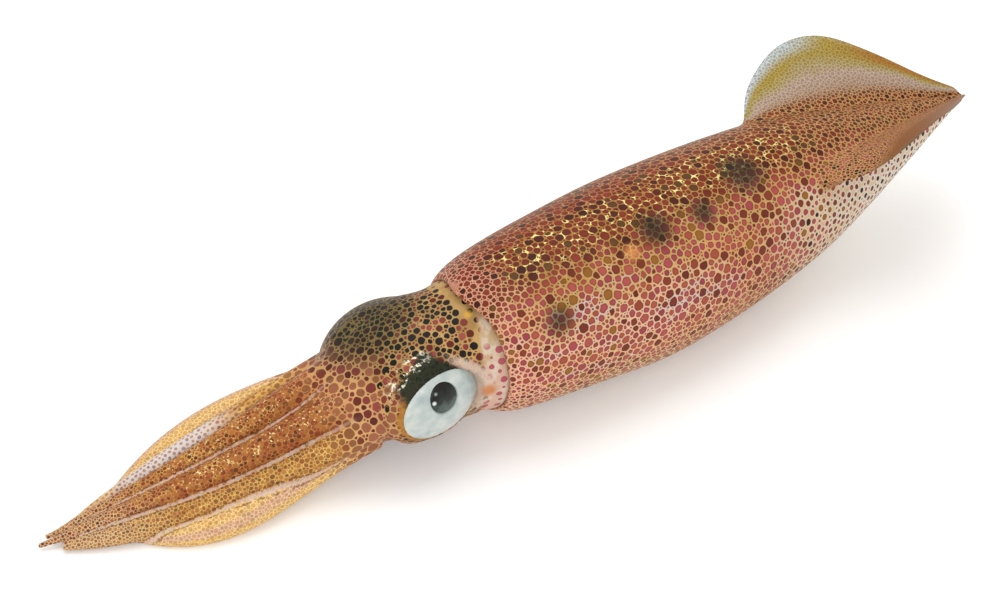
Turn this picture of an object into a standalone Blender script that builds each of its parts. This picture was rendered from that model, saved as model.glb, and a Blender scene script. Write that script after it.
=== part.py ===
"""Whole raw squid lying belly down, as closed solids.

The body runs along X, with the arms at -X and the tail at +X. The animal's left side faces
-Y and its belly rests on z = 0. The mantle, fins, neck, head and eight arms are one fused
body, and an eyeball sits in a socket on each side of the head. Sizes are in millimetres and
angles in degrees; MM turns a size into metres when a mesh is made.
"""
import math

import bpy
import bmesh
from mathutils import Matrix, Vector

MM = 0.001

# The mantle is a tapering tube from the free edge of the collar to the tail.
COLLAR_X = -45.0
TAIL_X = 76.6
MANTLE_RADIUS = ((-45, 13.4), (-41, 14.9), (-34, 16.0), (-22, 17.1), (-8, 18.0), (6, 17.4),
                 (20, 16.0), (32, 14.1), (44, 10.9), (56, 7.2), (66, 4.0), (73, 1.7), (77, 0.8))
MANTLE_HEIGHT = ((-45, 17.9), (-34, 17.9), (-22, 17.4), (-8, 16.7), (6, 16.8), (20, 17.2),
                 (32, 17.7), (44, 18.1), (56, 18.6), (66, 19.0), (77, 19.4))
COLLAR_WALL = 1.2
COLLAR_DEPTH = 5.0
COLLAR_LOBE = 2.2
COLLAR_LOBE_ANGLE = 24.0
COLLAR_LIP = 0.7
MANTLE_RINGS = 17

# Each fin grows from the upper flank of the rear mantle and ends at the tail.
FIN_FRONT_X = 28.5
FIN_SPAN = ((28.5, 0.0), (33, 6.6), (39, 12.2), (45, 16.2), (51, 18.0), (57, 17.2), (64, 12.2),
            (71, 5.8), (77, 1.0))
FIN_ROOT_ANGLE = 46.0
FIN_ROOT_SPREAD = 9.0
FIN_HALF_THICKNESS = 0.55
FIN_FULL_THICKNESS_SPAN = 5.0
LEFT_FIN_RISE = ((30, 14), (38, 32), (46, 43), (54, 47), (77, 46))
RIGHT_FIN_RISE = ((30, 20), (46, 26), (60, 29), (77, 30))
FIN_RINGS = 17

# Points of half a section: over the back, out along one face of a fin, and round the belly.
BACK_POINTS = 4
FIN_POINTS = 5
BELLY_POINTS = 9

# The neck and head bend towards +Y and sink towards the arms.
HEAD_MIDDLE_Y = ((-77, 6.6), (-72, 5.8), (-66, 5.2), (-60, 4.8), (-54, 3.7), (-48, 1.5),
                 (-43, 0.2), (-32, 0.0))
HEAD_MIDDLE_Z = ((-77, 10.6), (-72, 12.0), (-66, 13.5), (-60, 14.8), (-54, 15.8), (-48, 16.8),
                 (-43, 17.7), (-32, 17.8))
HEAD_HALF_WIDTH = ((-77, 6.8), (-72, 8.8), (-66, 10.8), (-60, 12.8), (-54, 13.2), (-48, 12.2),
                   (-43, 11.7), (-32, 11.0))
HEAD_HALF_HEIGHT = ((-77, 4.6), (-72, 6.6), (-66, 8.6), (-60, 10.6), (-54, 11.7), (-48, 11.9),
                    (-43, 11.6), (-32, 11.0))
HEAD_START_X = -32.0
HEAD_END_X = -77.0
HEAD_RINGS = 20
HEAD_SIDES = 32

# The eyes face sideways, the left one turned a little more to the back of the animal.
EYE_X = -57.0
EYE_ANGLES = {"left": -83.0, "right": 101.0}
EYE_HALF_LENGTH = 8.7
EYE_HALF_WIDTH = 6.9
EYE_HALF_DEPTH = 3.6
EYE_SINK = 2.0
EYE_YAW = 9.0
EYE_DROOP = 12.0
SOCKET_GAP = 0.3
LID_BULGE = 0.9
LID_REACH = 9.0
LID_SPREAD = 42.0
EYE_SEGMENTS = 28
EYE_RINGS = 16

# The funnel lies under the neck, with its open mouth towards the arms.
FUNNEL_BASE = (-42.0, 0.8, 11.6)
FUNNEL_MOUTH = (-59.5, 3.4, 3.9)
FUNNEL_BASE_RADIUS = 5.2
FUNNEL_MOUTH_RADIUS = 3.3
FUNNEL_WALL = 0.9
FUNNEL_HOLLOW = 5.0
FUNNEL_RINGS = 7
FUNNEL_SIDES = 16

# Arms: angle round the crown from the back, tip, bow to the side and where it peaks, sag,
# half width, half height and taper.
ARM_ROOT_X = -66.0
ARM_CROWN = (5.2, 12.9)
ARM_CROWN_HALF = (8.6, 5.6)
ARMS = {
    "right_1": (26, (-124.0, 17.9, 1.0), -1.4, 1.2, 0.8, 2.9, 2.9, 2.2),
    "left_1": (-34, (-126.0, 16.9, 0.9), -1.2, 1.2, 1.0, 3.0, 3.0, 2.2),
    "right_2": (68, (-119.0, 18.6, 0.8), 0.6, 1.0, 0.4, 2.8, 2.7, 2.4),
    "left_2": (-84, (-122.8, 13.9, 1.0), -1.4, 1.2, 2.2, 3.0, 2.9, 5.0),
    "right_3": (104, (-113.5, 17.4, 0.9), 5.4, 1.0, 0.2, 4.0, 2.4, 3.0),
    "left_3": (-136, (-111.9, 8.9, 0.8), -5.0, 1.8, 1.2, 3.1, 3.6, 3.4),
    "right_4": (146, (-115.0, 15.2, 0.7), -0.6, 1.0, 1.8, 2.8, 2.5, 2.6),
    "left_4": (-168, (-115.0, 12.2, 0.7), -1.2, 1.0, 1.8, 2.8, 2.5, 2.6),
}
ARM_TIP_RADIUS = 0.35
ARM_RINGS = 14
ARM_SIDES = 12
ARM_AIM_STEP = 0.02

# The block below z = 0 that flattens whatever rests there.
FLOOR_CUT_MIDDLE = (-24.0, 5.0)
FLOOR_CUT_SIZE = (240.0, 90.0, 8.0)

SMOOTH_ANGLE = 50.0
SKIN_COLOUR = (0.45, 0.16, 0.09, 1.0)
SKIN_ROUGHNESS = 0.35
EYE_COLOUR = (0.58, 0.66, 0.66, 1.0)
EYE_ROUGHNESS = 0.15


def clear_scene():
    """Remove every object that the scene starts with."""
    for item in list(bpy.data.objects):
        bpy.data.objects.remove(item, do_unlink=True)


def smooth_value(stations, place):
    """Value at a place along a smooth curve through (place, value) stations."""
    places = [station[0] for station in stations]
    values = [station[1] for station in stations]
    if place <= places[0]:
        return values[0]
    if place >= places[-1]:
        return values[-1]
    index = max(i for i in range(len(places) - 1) if places[i] <= place)

    def slope(i):
        before, after = max(i - 1, 0), min(i + 1, len(places) - 1)
        return (values[after] - values[before]) / (places[after] - places[before])

    gap = places[index + 1] - places[index]
    t = (place - places[index]) / gap
    return ((2 * t ** 3 - 3 * t ** 2 + 1) * values[index]
            + (t ** 3 - 2 * t ** 2 + t) * gap * slope(index)
            + (3 * t ** 2 - 2 * t ** 3) * values[index + 1]
            + (t ** 3 - t ** 2) * gap * slope(index + 1))


def spaced(start, end, count):
    """Evenly spaced values from start to end, both included."""
    return [start + (end - start) * i / (count - 1) for i in range(count)]


def make_material(name, colour, roughness):
    """Principled material of one colour for a solid."""
    material = bpy.data.materials.new(name)
    material.use_nodes = True
    shader = material.node_tree.nodes["Principled BSDF"]
    shader.inputs["Base Color"].default_value = colour
    shader.inputs["Roughness"].default_value = roughness
    return material


def loft(name, rings, collection):
    """Closed solid through a list of rings that have equal numbers of points."""
    bm = bmesh.new()
    loops = [[bm.verts.new(point * MM) for point in ring] for ring in rings]
    for lower, upper in zip(loops, loops[1:]):
        for i in range(len(lower)):
            j = (i + 1) % len(lower)
            bm.faces.new((lower[i], lower[j], upper[j], upper[i]))
    for loop in (loops[0], loops[-1]):
        middle = bm.verts.new(sum((vert.co for vert in loop), Vector()) / len(loop))
        for i in range(len(loop)):
            bm.faces.new((loop[i], loop[(i + 1) % len(loop)], middle))
    bmesh.ops.recalc_face_normals(bm, faces=bm.faces)
    mesh = bpy.data.meshes.new(name)
    bm.to_mesh(mesh)
    bm.free()
    solid = bpy.data.objects.new(name, mesh)
    collection.objects.link(solid)
    return solid


def collar_lobe(angle):
    """How far the collar's edge reaches forward of its plane: a lobe over the back."""
    return COLLAR_LOBE * math.exp(-(math.degrees(angle) / COLLAR_LOBE_ANGLE) ** 2)


def mantle_point(x, angle, inset=0.0):
    """Point of the mantle's wall, at an angle from the back that is positive to +Y."""
    radius = smooth_value(MANTLE_RADIUS, x) - inset
    fade = math.exp(-(x - COLLAR_X) / COLLAR_DEPTH)
    return Vector((x - collar_lobe(angle) * fade,
                   radius * math.sin(angle),
                   smooth_value(MANTLE_HEIGHT, x) + radius * math.cos(angle)))


def flank_points(x, side):
    """Half a section through the mantle and one fin, from the back to the belly."""
    root = math.radians(FIN_ROOT_ANGLE)
    spread = math.radians(FIN_ROOT_SPREAD)
    span = smooth_value(FIN_SPAN, x) if x > FIN_FRONT_X else 0.0
    rise = math.radians(smooth_value(LEFT_FIN_RISE if side < 0 else RIGHT_FIN_RISE, x))
    outward = Vector((0, side * math.cos(rise), math.sin(rise)))
    upward = Vector((0, -side * math.sin(rise), math.cos(rise)))
    thickness = FIN_HALF_THICKNESS * min(1.0, span / FIN_FULL_THICKNESS_SPAN)

    def fin_point(share, face):
        base = mantle_point(x, side * (root - face * spread * (1 - share) ** 2))
        edge = thickness * (1 - share ** 4)
        return base + outward * span * share + upward * face * edge

    points = [mantle_point(x, side * (root - spread) * i / BACK_POINTS)
              for i in range(1, BACK_POINTS)]
    points += [fin_point(i / FIN_POINTS, 1) for i in range(FIN_POINTS + 1)]
    points += [fin_point(i / FIN_POINTS, -1) for i in reversed(range(FIN_POINTS))]
    low = root + spread
    points += [mantle_point(x, side * (low + (math.pi - low) * i / BELLY_POINTS))
               for i in range(1, BELLY_POINTS)]
    return points


def mantle_ring(x):
    """Whole section through the mantle and both fins."""
    left = flank_points(x, -1)
    right = flank_points(x, 1)
    return [mantle_point(x, 0.0)] + left + [mantle_point(x, math.pi)] + right[::-1]


def cup_ring(x, inset):
    """Section of the space inside the collar, point for point with the mantle's wall."""
    height = smooth_value(MANTLE_HEIGHT, COLLAR_X)
    turns = [math.atan2(point.y, point.z - height) for point in mantle_ring(COLLAR_X)]
    return [mantle_point(x, turn, inset) for turn in turns]


def build_mantle(collection):
    """Mantle with both fins, open in front as a shallow cup round the neck."""
    stations = spaced(COLLAR_X + COLLAR_LIP, FIN_FRONT_X, MANTLE_RINGS)
    stations += spaced(FIN_FRONT_X, TAIL_X, FIN_RINGS)[1:]
    rings = [cup_ring(COLLAR_X + COLLAR_DEPTH, COLLAR_WALL),
             cup_ring(COLLAR_X + COLLAR_LIP, COLLAR_WALL),
             cup_ring(COLLAR_X, COLLAR_WALL / 2)]
    rings += [mantle_ring(x) for x in stations]
    return loft("mantle", rings, collection)


def head_middle(x):
    """Middle of the neck and head at a station."""
    return Vector((x, smooth_value(HEAD_MIDDLE_Y, x), smooth_value(HEAD_MIDDLE_Z, x)))


def head_point(x, angle):
    """Point of the head's skin, with the lids standing out round both eyes."""
    turn = math.degrees(math.atan2(math.sin(angle), math.cos(angle)))
    along = (x - EYE_X) / LID_REACH
    lid = sum(LID_BULGE * math.exp(-along ** 2 - ((turn - eye) / LID_SPREAD) ** 2)
              for eye in EYE_ANGLES.values())
    return head_middle(x) + Vector((
        0.0,
        (smooth_value(HEAD_HALF_WIDTH, x) + lid) * math.sin(angle),
        (smooth_value(HEAD_HALF_HEIGHT, x) + lid) * math.cos(angle)))


def build_head(collection):
    """Neck and head, from inside the mantle to the ring that the arms grow from."""
    rings = [[head_point(x, -2 * math.pi * i / HEAD_SIDES) for i in range(HEAD_SIDES)]
             for x in spaced(HEAD_START_X, HEAD_END_X, HEAD_RINGS)]
    return loft("head", rings, collection)


def arm_route(spec, share):
    """Point of an arm's middle line, at a share of the way from its root to its tip."""
    angle, tip, bow, peak, sag = spec[:5]
    turn = math.radians(angle)
    root = Vector((ARM_ROOT_X,
                   ARM_CROWN[0] + ARM_CROWN_HALF[0] * math.sin(turn),
                   ARM_CROWN[1] + ARM_CROWN_HALF[1] * math.cos(turn)))
    sideways = bow * math.sin(math.pi * share ** peak)
    downward = sag * math.sin(math.pi * share)
    return root.lerp(Vector(tip), share) + Vector((0.0, sideways, -downward))


def build_arm(name, spec, collection):
    """One arm, an oval section that tapers along its route to a blunt tip."""
    half_width, half_height, taper = spec[5:]
    rings = []
    for share in spaced(0.0, 1.0, ARM_RINGS):
        centre = arm_route(spec, share)
        ahead = arm_route(spec, min(share + ARM_AIM_STEP, 1.0))
        behind = arm_route(spec, max(share - ARM_AIM_STEP, 0.0))
        forward = (ahead - behind).normalized()
        across = forward.cross(Vector((0, 0, 1))).normalized()
        up = across.cross(forward)
        size = 1.0 - share ** taper
        wide = max(half_width * size, ARM_TIP_RADIUS)
        tall = max(half_height * size, ARM_TIP_RADIUS)
        rings.append([centre + across * wide * math.cos(turn) + up * tall * math.sin(turn)
                      for turn in spaced(0.0, 2 * math.pi, ARM_SIDES + 1)[:-1]])
    return loft("arm_" + name, rings, collection)


def build_funnel(collection):
    """Funnel under the neck: a tapering tube with a blind hollow in its mouth."""
    base, mouth = Vector(FUNNEL_BASE), Vector(FUNNEL_MOUTH)
    forward = (mouth - base).normalized()
    across = forward.cross(Vector((0, 0, 1))).normalized()
    up = across.cross(forward)

    def ring(centre, radius):
        return [centre + (across * math.cos(turn) + up * math.sin(turn)) * radius
                for turn in spaced(0.0, 2 * math.pi, FUNNEL_SIDES + 1)[:-1]]

    rings = [ring(base.lerp(mouth, share),
                  FUNNEL_BASE_RADIUS + (FUNNEL_MOUTH_RADIUS - FUNNEL_BASE_RADIUS) * share)
             for share in spaced(0.0, 1.0, FUNNEL_RINGS)]
    inside = FUNNEL_MOUTH_RADIUS - FUNNEL_WALL
    rings += [ring(mouth, inside), ring(mouth - forward * FUNNEL_HOLLOW, inside)]
    return loft("funnel", rings, collection)


def eye_frame(label):
    """Place and turn of an eye: its X runs along the head and its Z faces out."""
    seat = head_point(EYE_X, math.radians(EYE_ANGLES[label]))
    out = (seat - head_middle(EYE_X)).normalized()
    along = Vector((-1.0, math.tan(math.radians(EYE_YAW)), -math.tan(math.radians(EYE_DROOP))))
    along = (along - out * along.dot(out)).normalized()
    across = out.cross(along)
    turn = Matrix((along, across, out)).transposed().to_4x4()
    return Matrix.Translation((seat - out * EYE_SINK) * MM) @ turn


def make_ellipsoid(name, label, grow, collection):
    """Eyeball, or the larger ellipsoid that cuts its socket."""
    bm = bmesh.new()
    bmesh.ops.create_uvsphere(bm, u_segments=EYE_SEGMENTS, v_segments=EYE_RINGS, radius=1.0)
    half = ((EYE_HALF_LENGTH + grow) * MM, (EYE_HALF_WIDTH + grow) * MM,
            (EYE_HALF_DEPTH + grow) * MM)
    bmesh.ops.transform(bm, matrix=eye_frame(label) @ Matrix.Diagonal((*half, 1.0)),
                        verts=bm.verts)
    mesh = bpy.data.meshes.new(name)
    bm.to_mesh(mesh)
    bm.free()
    ball = bpy.data.objects.new(name, mesh)
    collection.objects.link(ball)
    return ball


def make_floor_block(collection):
    """Block below z = 0, which flattens the belly and arms where they rest."""
    bm = bmesh.new()
    bmesh.ops.create_cube(bm, size=1.0)
    length, width, depth = FLOOR_CUT_SIZE
    centre = Matrix.Translation(Vector((*FLOOR_CUT_MIDDLE, -depth / 2)) * MM)
    size = Matrix.Diagonal((length * MM, width * MM, depth * MM, 1.0))
    bmesh.ops.transform(bm, matrix=centre @ size, verts=bm.verts)
    mesh = bpy.data.meshes.new("floor_block")
    bm.to_mesh(mesh)
    bm.free()
    block = bpy.data.objects.new("floor_block", mesh)
    collection.objects.link(block)
    return block


def apply_boolean(target, operation, collection):
    """Join or cut with all that a collection holds, then remove what it held."""
    modifier = target.modifiers.new(operation.lower(), "BOOLEAN")
    modifier.operation = operation
    modifier.operand_type = "COLLECTION"
    modifier.collection = collection
    modifier.solver = "EXACT"
    bpy.context.view_layer.update()
    depsgraph = bpy.context.evaluated_depsgraph_get()
    joined = bpy.data.meshes.new_from_object(target.evaluated_get(depsgraph))
    target.modifiers.clear()
    target.data = joined
    for item in list(collection.objects):
        bpy.data.objects.remove(item, do_unlink=True)


def shade(solid, material):
    """Give a finished solid its material, shaded smooth except across sharp edges."""
    solid.data.materials.clear()
    solid.data.materials.append(material)
    solid.data.shade_smooth()
    solid.data.set_sharp_from_angle(angle=math.radians(SMOOTH_ANGLE))


def main():
    """Build the body and both eyeballs."""
    clear_scene()
    parts = bpy.data.collections.new("whole_raw_squid")
    joins = bpy.data.collections.new("joins")
    cutters = bpy.data.collections.new("cutters")
    for collection in (parts, joins, cutters):
        bpy.context.scene.collection.children.link(collection)

    body = build_mantle(parts)
    body.name = body.data.name = "squid_body"
    build_head(joins)
    build_funnel(joins)
    for name, spec in ARMS.items():
        build_arm(name, spec, joins)
    apply_boolean(body, "UNION", joins)
    make_floor_block(cutters)
    for label in EYE_ANGLES:
        make_ellipsoid("socket_" + label, label, SOCKET_GAP, cutters)
    for cutter in cutters.objects:
        cutter.hide_render = True
        cutter.display_type = "WIRE"
    apply_boolean(body, "DIFFERENCE", cutters)
    body.data.name = "squid_body"
    shade(body, make_material("speckled_skin", SKIN_COLOUR, SKIN_ROUGHNESS))

    for label in EYE_ANGLES:
        ball = make_ellipsoid("eye_" + label, label, 0.0, parts)
        shade(ball, make_material("eye_" + label, EYE_COLOUR, EYE_ROUGHNESS))


main()
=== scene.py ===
"""Looks of a whole raw squid that lies belly down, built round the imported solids.

The body runs along X with the arms at -X and the tail at +X, its left side faces -Y and its
belly rests on z = 0. Sizes are in millimetres and angles in degrees; MM turns a size into
metres when a mesh is made.
"""
import logging
import math
from dataclasses import dataclass, field
from enum import Enum

import bmesh
import bpy
import numpy as np
from mathutils import Matrix, Vector


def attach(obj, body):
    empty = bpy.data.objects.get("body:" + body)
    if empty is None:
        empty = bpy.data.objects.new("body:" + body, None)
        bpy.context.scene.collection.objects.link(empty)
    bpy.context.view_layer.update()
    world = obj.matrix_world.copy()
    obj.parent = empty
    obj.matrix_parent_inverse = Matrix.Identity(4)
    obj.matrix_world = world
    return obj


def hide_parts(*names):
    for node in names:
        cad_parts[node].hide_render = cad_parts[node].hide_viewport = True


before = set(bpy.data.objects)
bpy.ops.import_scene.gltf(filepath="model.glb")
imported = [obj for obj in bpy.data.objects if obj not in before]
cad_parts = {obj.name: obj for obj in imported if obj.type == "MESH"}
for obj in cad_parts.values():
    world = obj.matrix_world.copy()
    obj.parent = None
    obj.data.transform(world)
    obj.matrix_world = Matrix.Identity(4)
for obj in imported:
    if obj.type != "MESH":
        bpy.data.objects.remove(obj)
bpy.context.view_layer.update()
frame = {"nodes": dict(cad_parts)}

LOG = logging.getLogger("squid")
MM = 0.001
# A place off the body and its middle plane, so that no two points are equally far from it.
ORDER_POINT = (-310.0, -170.0, 230.0)

HALF_TURN = 180.0
# Millimetres to where an absent spot is put, too far for it to show.
FAR_OFF = 1000.0

# Settings that many nodes share.
RGBA = {"data_type": "RGBA"}
SMOOTH = {"interpolation_type": "SMOOTHSTEP"}
ADD = {"operation": "ADD"}
SUBTRACT = {"operation": "SUBTRACT"}
MULTIPLY = {"operation": "MULTIPLY"}
MULTIPLY_ADD = {"operation": "MULTIPLY_ADD"}
MINIMUM = {"operation": "MINIMUM"}
MAXIMUM = {"operation": "MAXIMUM"}
ABSOLUTE = {"operation": "ABSOLUTE"}
DISTANCE = {"operation": "DISTANCE"}

Stations = tuple[tuple[float, float], ...]


class Side(Enum):
    """Side of the animal, with the sign of its Y."""

    LEFT = -1
    RIGHT = 1


class Slot(Enum):
    """Material slot of the record that a piece takes its finish from."""

    SKIN = "skin"
    EYE = "eye"


def srgb(code: str) -> tuple[float, float, float, float]:
    """Turn an sRGB hex colour into a linear one.

    Args:
        code: six hex digits after a hash.

    Returns:
        Linear red, green, blue and an alpha of one.
    """
    values = [int(code[i:i + 2], 16) / 255 for i in (1, 3, 5)]
    linear = [v / 12.92 if v <= 0.04045 else ((v + 0.055) / 1.055) ** 2.4 for v in values]
    return (*linear, 1.0)


def spaced(start: float, end: float, count: int) -> list[float]:
    """Give evenly spaced values from start to end, both included."""
    return [start + (end - start) * i / (count - 1) for i in range(count)]


@dataclass(frozen=True)
class Profile:
    """Smooth curve through (place, value) stations."""

    stations: Stations

    def at(self, place: float) -> float:
        """Read the curve.

        Args:
            place: where along the stations.

        Returns:
            The value there, held level past both ends.
        """
        places = [station[0] for station in self.stations]
        values = [station[1] for station in self.stations]
        if place <= places[0]:
            return values[0]
        if place >= places[-1]:
            return values[-1]
        index = max(i for i in range(len(places) - 1) if places[i] <= place)
        gap = places[index + 1] - places[index]
        t = (place - places[index]) / gap
        start, end = self.slope(index), self.slope(index + 1)
        return ((2 * t ** 3 - 3 * t ** 2 + 1) * values[index]
                + (t ** 3 - 2 * t ** 2 + t) * gap * start
                + (3 * t ** 2 - 2 * t ** 3) * values[index + 1]
                + (t ** 3 - t ** 2) * gap * end)

    def slope(self, index: int) -> float:
        """Give the slope at a station, from its two neighbours.

        Args:
            index: the station's number.

        Returns:
            Change of value for each step of place.
        """
        before = self.stations[max(index - 1, 0)]
        after = self.stations[min(index + 1, len(self.stations) - 1)]
        return (after[1] - before[1]) / (after[0] - before[0])


def deselect_all() -> None:
    """Leave object mode with nothing selected."""
    if bpy.context.object and bpy.context.object.mode != "OBJECT":
        bpy.ops.object.mode_set(mode="OBJECT")
    bpy.ops.object.select_all(action="DESELECT")


def make_active(piece: bpy.types.Object) -> None:
    """Select one piece alone and make it active.

    Args:
        piece: the mesh object.
    """
    deselect_all()
    piece.select_set(True)
    bpy.context.view_layer.objects.active = piece


def apply_modifier(piece: bpy.types.Object, kind: str, **settings: object) -> None:
    """Add a modifier with its settings and apply it.

    Args:
        piece: the mesh object.
        kind: the modifier's type, as Blender names it.
        settings: the modifier's own properties.
    """
    make_active(piece)
    modifier = piece.modifiers.new(kind.lower(), kind)
    for key, value in settings.items():
        setattr(modifier, key, value)
    bpy.ops.object.modifier_apply(modifier=modifier.name)


def settle_order(piece: bpy.types.Object) -> None:
    """Number a mesh's elements by their distance from a point beside it.

    Extruding can number edges and faces otherwise in each run. Subdividing then rounds the
    points otherwise, which would move the spots.

    Args:
        piece: the mesh object.
    """
    make_active(piece)
    bpy.context.scene.cursor.location = Vector(ORDER_POINT) * MM
    bpy.ops.object.mode_set(mode="EDIT")
    bpy.ops.mesh.select_all(action="SELECT")
    bpy.ops.mesh.sort_elements(type="CURSOR_DISTANCE", elements={"VERT", "EDGE", "FACE"})
    bpy.ops.object.mode_set(mode="OBJECT")


def read_points(piece: bpy.types.Object) -> np.ndarray:
    """Give a mesh's points in millimetres, one row each.

    Args:
        piece: the mesh object.

    Returns:
        The points, in the mesh's own order.
    """
    flat = np.empty(len(piece.data.vertices) * 3)
    piece.data.vertices.foreach_get("co", flat)
    return flat.reshape(-1, 3) / MM


def read_triangles(piece: bpy.types.Object) -> np.ndarray:
    """Give the point numbers of a mesh's triangles, one row each.

    Args:
        piece: the mesh object.

    Returns:
        Three point numbers for each triangle.
    """
    piece.data.calc_loop_triangles()
    corners = np.empty(len(piece.data.loop_triangles) * 3, dtype=np.int32)
    piece.data.loop_triangles.foreach_get("vertices", corners)
    return corners.reshape(-1, 3)


def write_points(piece: bpy.types.Object, points: np.ndarray) -> None:
    """Put a mesh's points back from millimetres."""
    piece.data.vertices.foreach_set("co", (points * MM).ravel())
    piece.data.update()


def write_attribute(piece: bpy.types.Object, name: str, values: np.ndarray) -> None:
    """Store one number for each point of a mesh under a name."""
    attribute = piece.data.attributes.new(name, "FLOAT", "POINT")
    attribute.data.foreach_set("value", np.asarray(values, dtype=np.float32))


def read_attribute(piece: bpy.types.Object, name: str) -> np.ndarray:
    """Read one number for each point of a mesh.

    Args:
        piece: the mesh object.
        name: the name that it is stored under.

    Returns:
        The numbers, in the points' order.
    """
    values = np.empty(len(piece.data.vertices), dtype=np.float32)
    piece.data.attributes[name].data.foreach_get("value", values)
    return values


def ramp_between(values: np.ndarray, low: float, high: float) -> np.ndarray:
    """Rise smoothly from 0 at low to 1 at high."""
    share = np.clip((values - low) / (high - low), 0.0, 1.0)
    return share * share * (3 - 2 * share)


class DrawnTube:
    """Tube drawn out of one circle in edit mode, ring after ring.

    Each ring is extruded from the last one and its points are then put in place, so that
    every ring keeps the order that the circle's points had.
    """

    def __init__(self, name: str, ring: list[Vector]) -> None:
        """Add the circle and set it as the first ring.

        Args:
            name: the new object's name.
            ring: the first ring's points in millimetres.
        """
        deselect_all()
        bpy.ops.mesh.primitive_circle_add(vertices=len(ring), radius=MM, fill_type="NOTHING",
                                          location=(0, 0, 0))
        self.piece = bpy.context.active_object
        self.piece.name = self.piece.data.name = name
        bpy.ops.object.mode_set(mode="EDIT")
        bpy.ops.mesh.select_all(action="SELECT")
        self.rings = [list(range(len(ring)))]
        self.place(ring)

    def mesh(self) -> bmesh.types.BMesh:
        """Give the edit mesh with its lists up to date.

        Returns:
            The mesh that edit mode is changing.
        """
        edited = bmesh.from_edit_mesh(self.piece.data)
        edited.verts.index_update()
        edited.verts.ensure_lookup_table()
        return edited

    def place(self, ring: list[Vector]) -> None:
        """Move the last ring's points to a section.

        Args:
            ring: the section's points in millimetres.
        """
        edited = self.mesh()
        for index, point in zip(self.rings[-1], ring):
            edited.verts[index].co = point * MM
        bmesh.update_edit_mesh(self.piece.data)

    def draw(self, ring: list[Vector]) -> None:
        """Extrude the last ring and put the new one on a section.

        Args:
            ring: the section's points in millimetres.
        """
        before = len(self.mesh().verts)
        bpy.ops.mesh.extrude_region()
        edited = self.mesh()
        following = []
        for index in self.rings[-1]:
            vert = edited.verts[index]
            others = [edge.other_vert(vert).index for edge in vert.link_edges]
            following.append(next(other for other in others if other >= before))
        self.rings.append(following)
        self.place(ring)

    def finish(self) -> bpy.types.Object:
        """Cap both ends with a fan round a middle point and return the closed object.

        Returns:
            The closed tube, with its faces pointing out.
        """
        for ring in (self.rings[0], self.rings[-1]):
            bpy.ops.mesh.select_all(action="DESELECT")
            edited = self.mesh()
            for index in ring:
                edited.verts[index].select = True
            edited.select_flush_mode()
            for edge in edited.edges:
                edge.select = edge.verts[0].select and edge.verts[1].select
            bmesh.update_edit_mesh(self.piece.data)
            bpy.ops.mesh.edge_face_add()
            bpy.ops.mesh.poke()
        bpy.ops.mesh.select_all(action="SELECT")
        bpy.ops.mesh.normals_make_consistent(inside=False)
        bpy.ops.object.mode_set(mode="OBJECT")
        bpy.ops.object.shade_smooth()
        return self.piece


def add_node(tree: bpy.types.NodeTree, kind: str, settings: dict | None = None,
             inputs: dict | None = None) -> bpy.types.Node:
    """Add a node with its settings and links.

    Args:
        tree: the node tree.
        kind: the node's type without its ShaderNode prefix.
        settings: its properties; "stops" gives a colour ramp's (place, colour) pairs.
        inputs: by socket name or number, a value, a socket or a node, whose first live
            output is then used.

    Returns:
        The new node.
    """
    node = tree.nodes.new("ShaderNode" + kind)
    for key, value in (settings or {}).items():
        if key != "stops":
            setattr(node, key, value)
            continue
        elements = node.color_ramp.elements
        while len(elements) < len(value):
            elements.new(1.0)
        for element, (place, colour) in zip(elements, value):
            element.position = place
            element.color = srgb(colour)
    for key, value in (inputs or {}).items():
        live = [socket for socket in node.inputs if socket.enabled]
        socket = live[key] if isinstance(key, int) else next(
            found for found in live if found.name == key)
        if isinstance(value, bpy.types.Node):
            value = next(found for found in value.outputs if found.enabled)
        if isinstance(value, bpy.types.NodeSocket):
            tree.links.new(value, socket)
        else:
            socket.default_value = value
    return node


def new_material(name: str) -> tuple[bpy.types.Material, bpy.types.NodeTree, bpy.types.Node]:
    """Make a node material that holds only its output and a Principled shader.

    Args:
        name: the material's name.

    Returns:
        The material, its node tree and the shader.
    """
    material = bpy.data.materials.new(name)
    material.use_nodes = True
    tree = material.node_tree
    tree.nodes.clear()
    shader = add_node(tree, "BsdfPrincipled")
    add_node(tree, "OutputMaterial", inputs={"Surface": shader})
    return material, tree, shader


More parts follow.
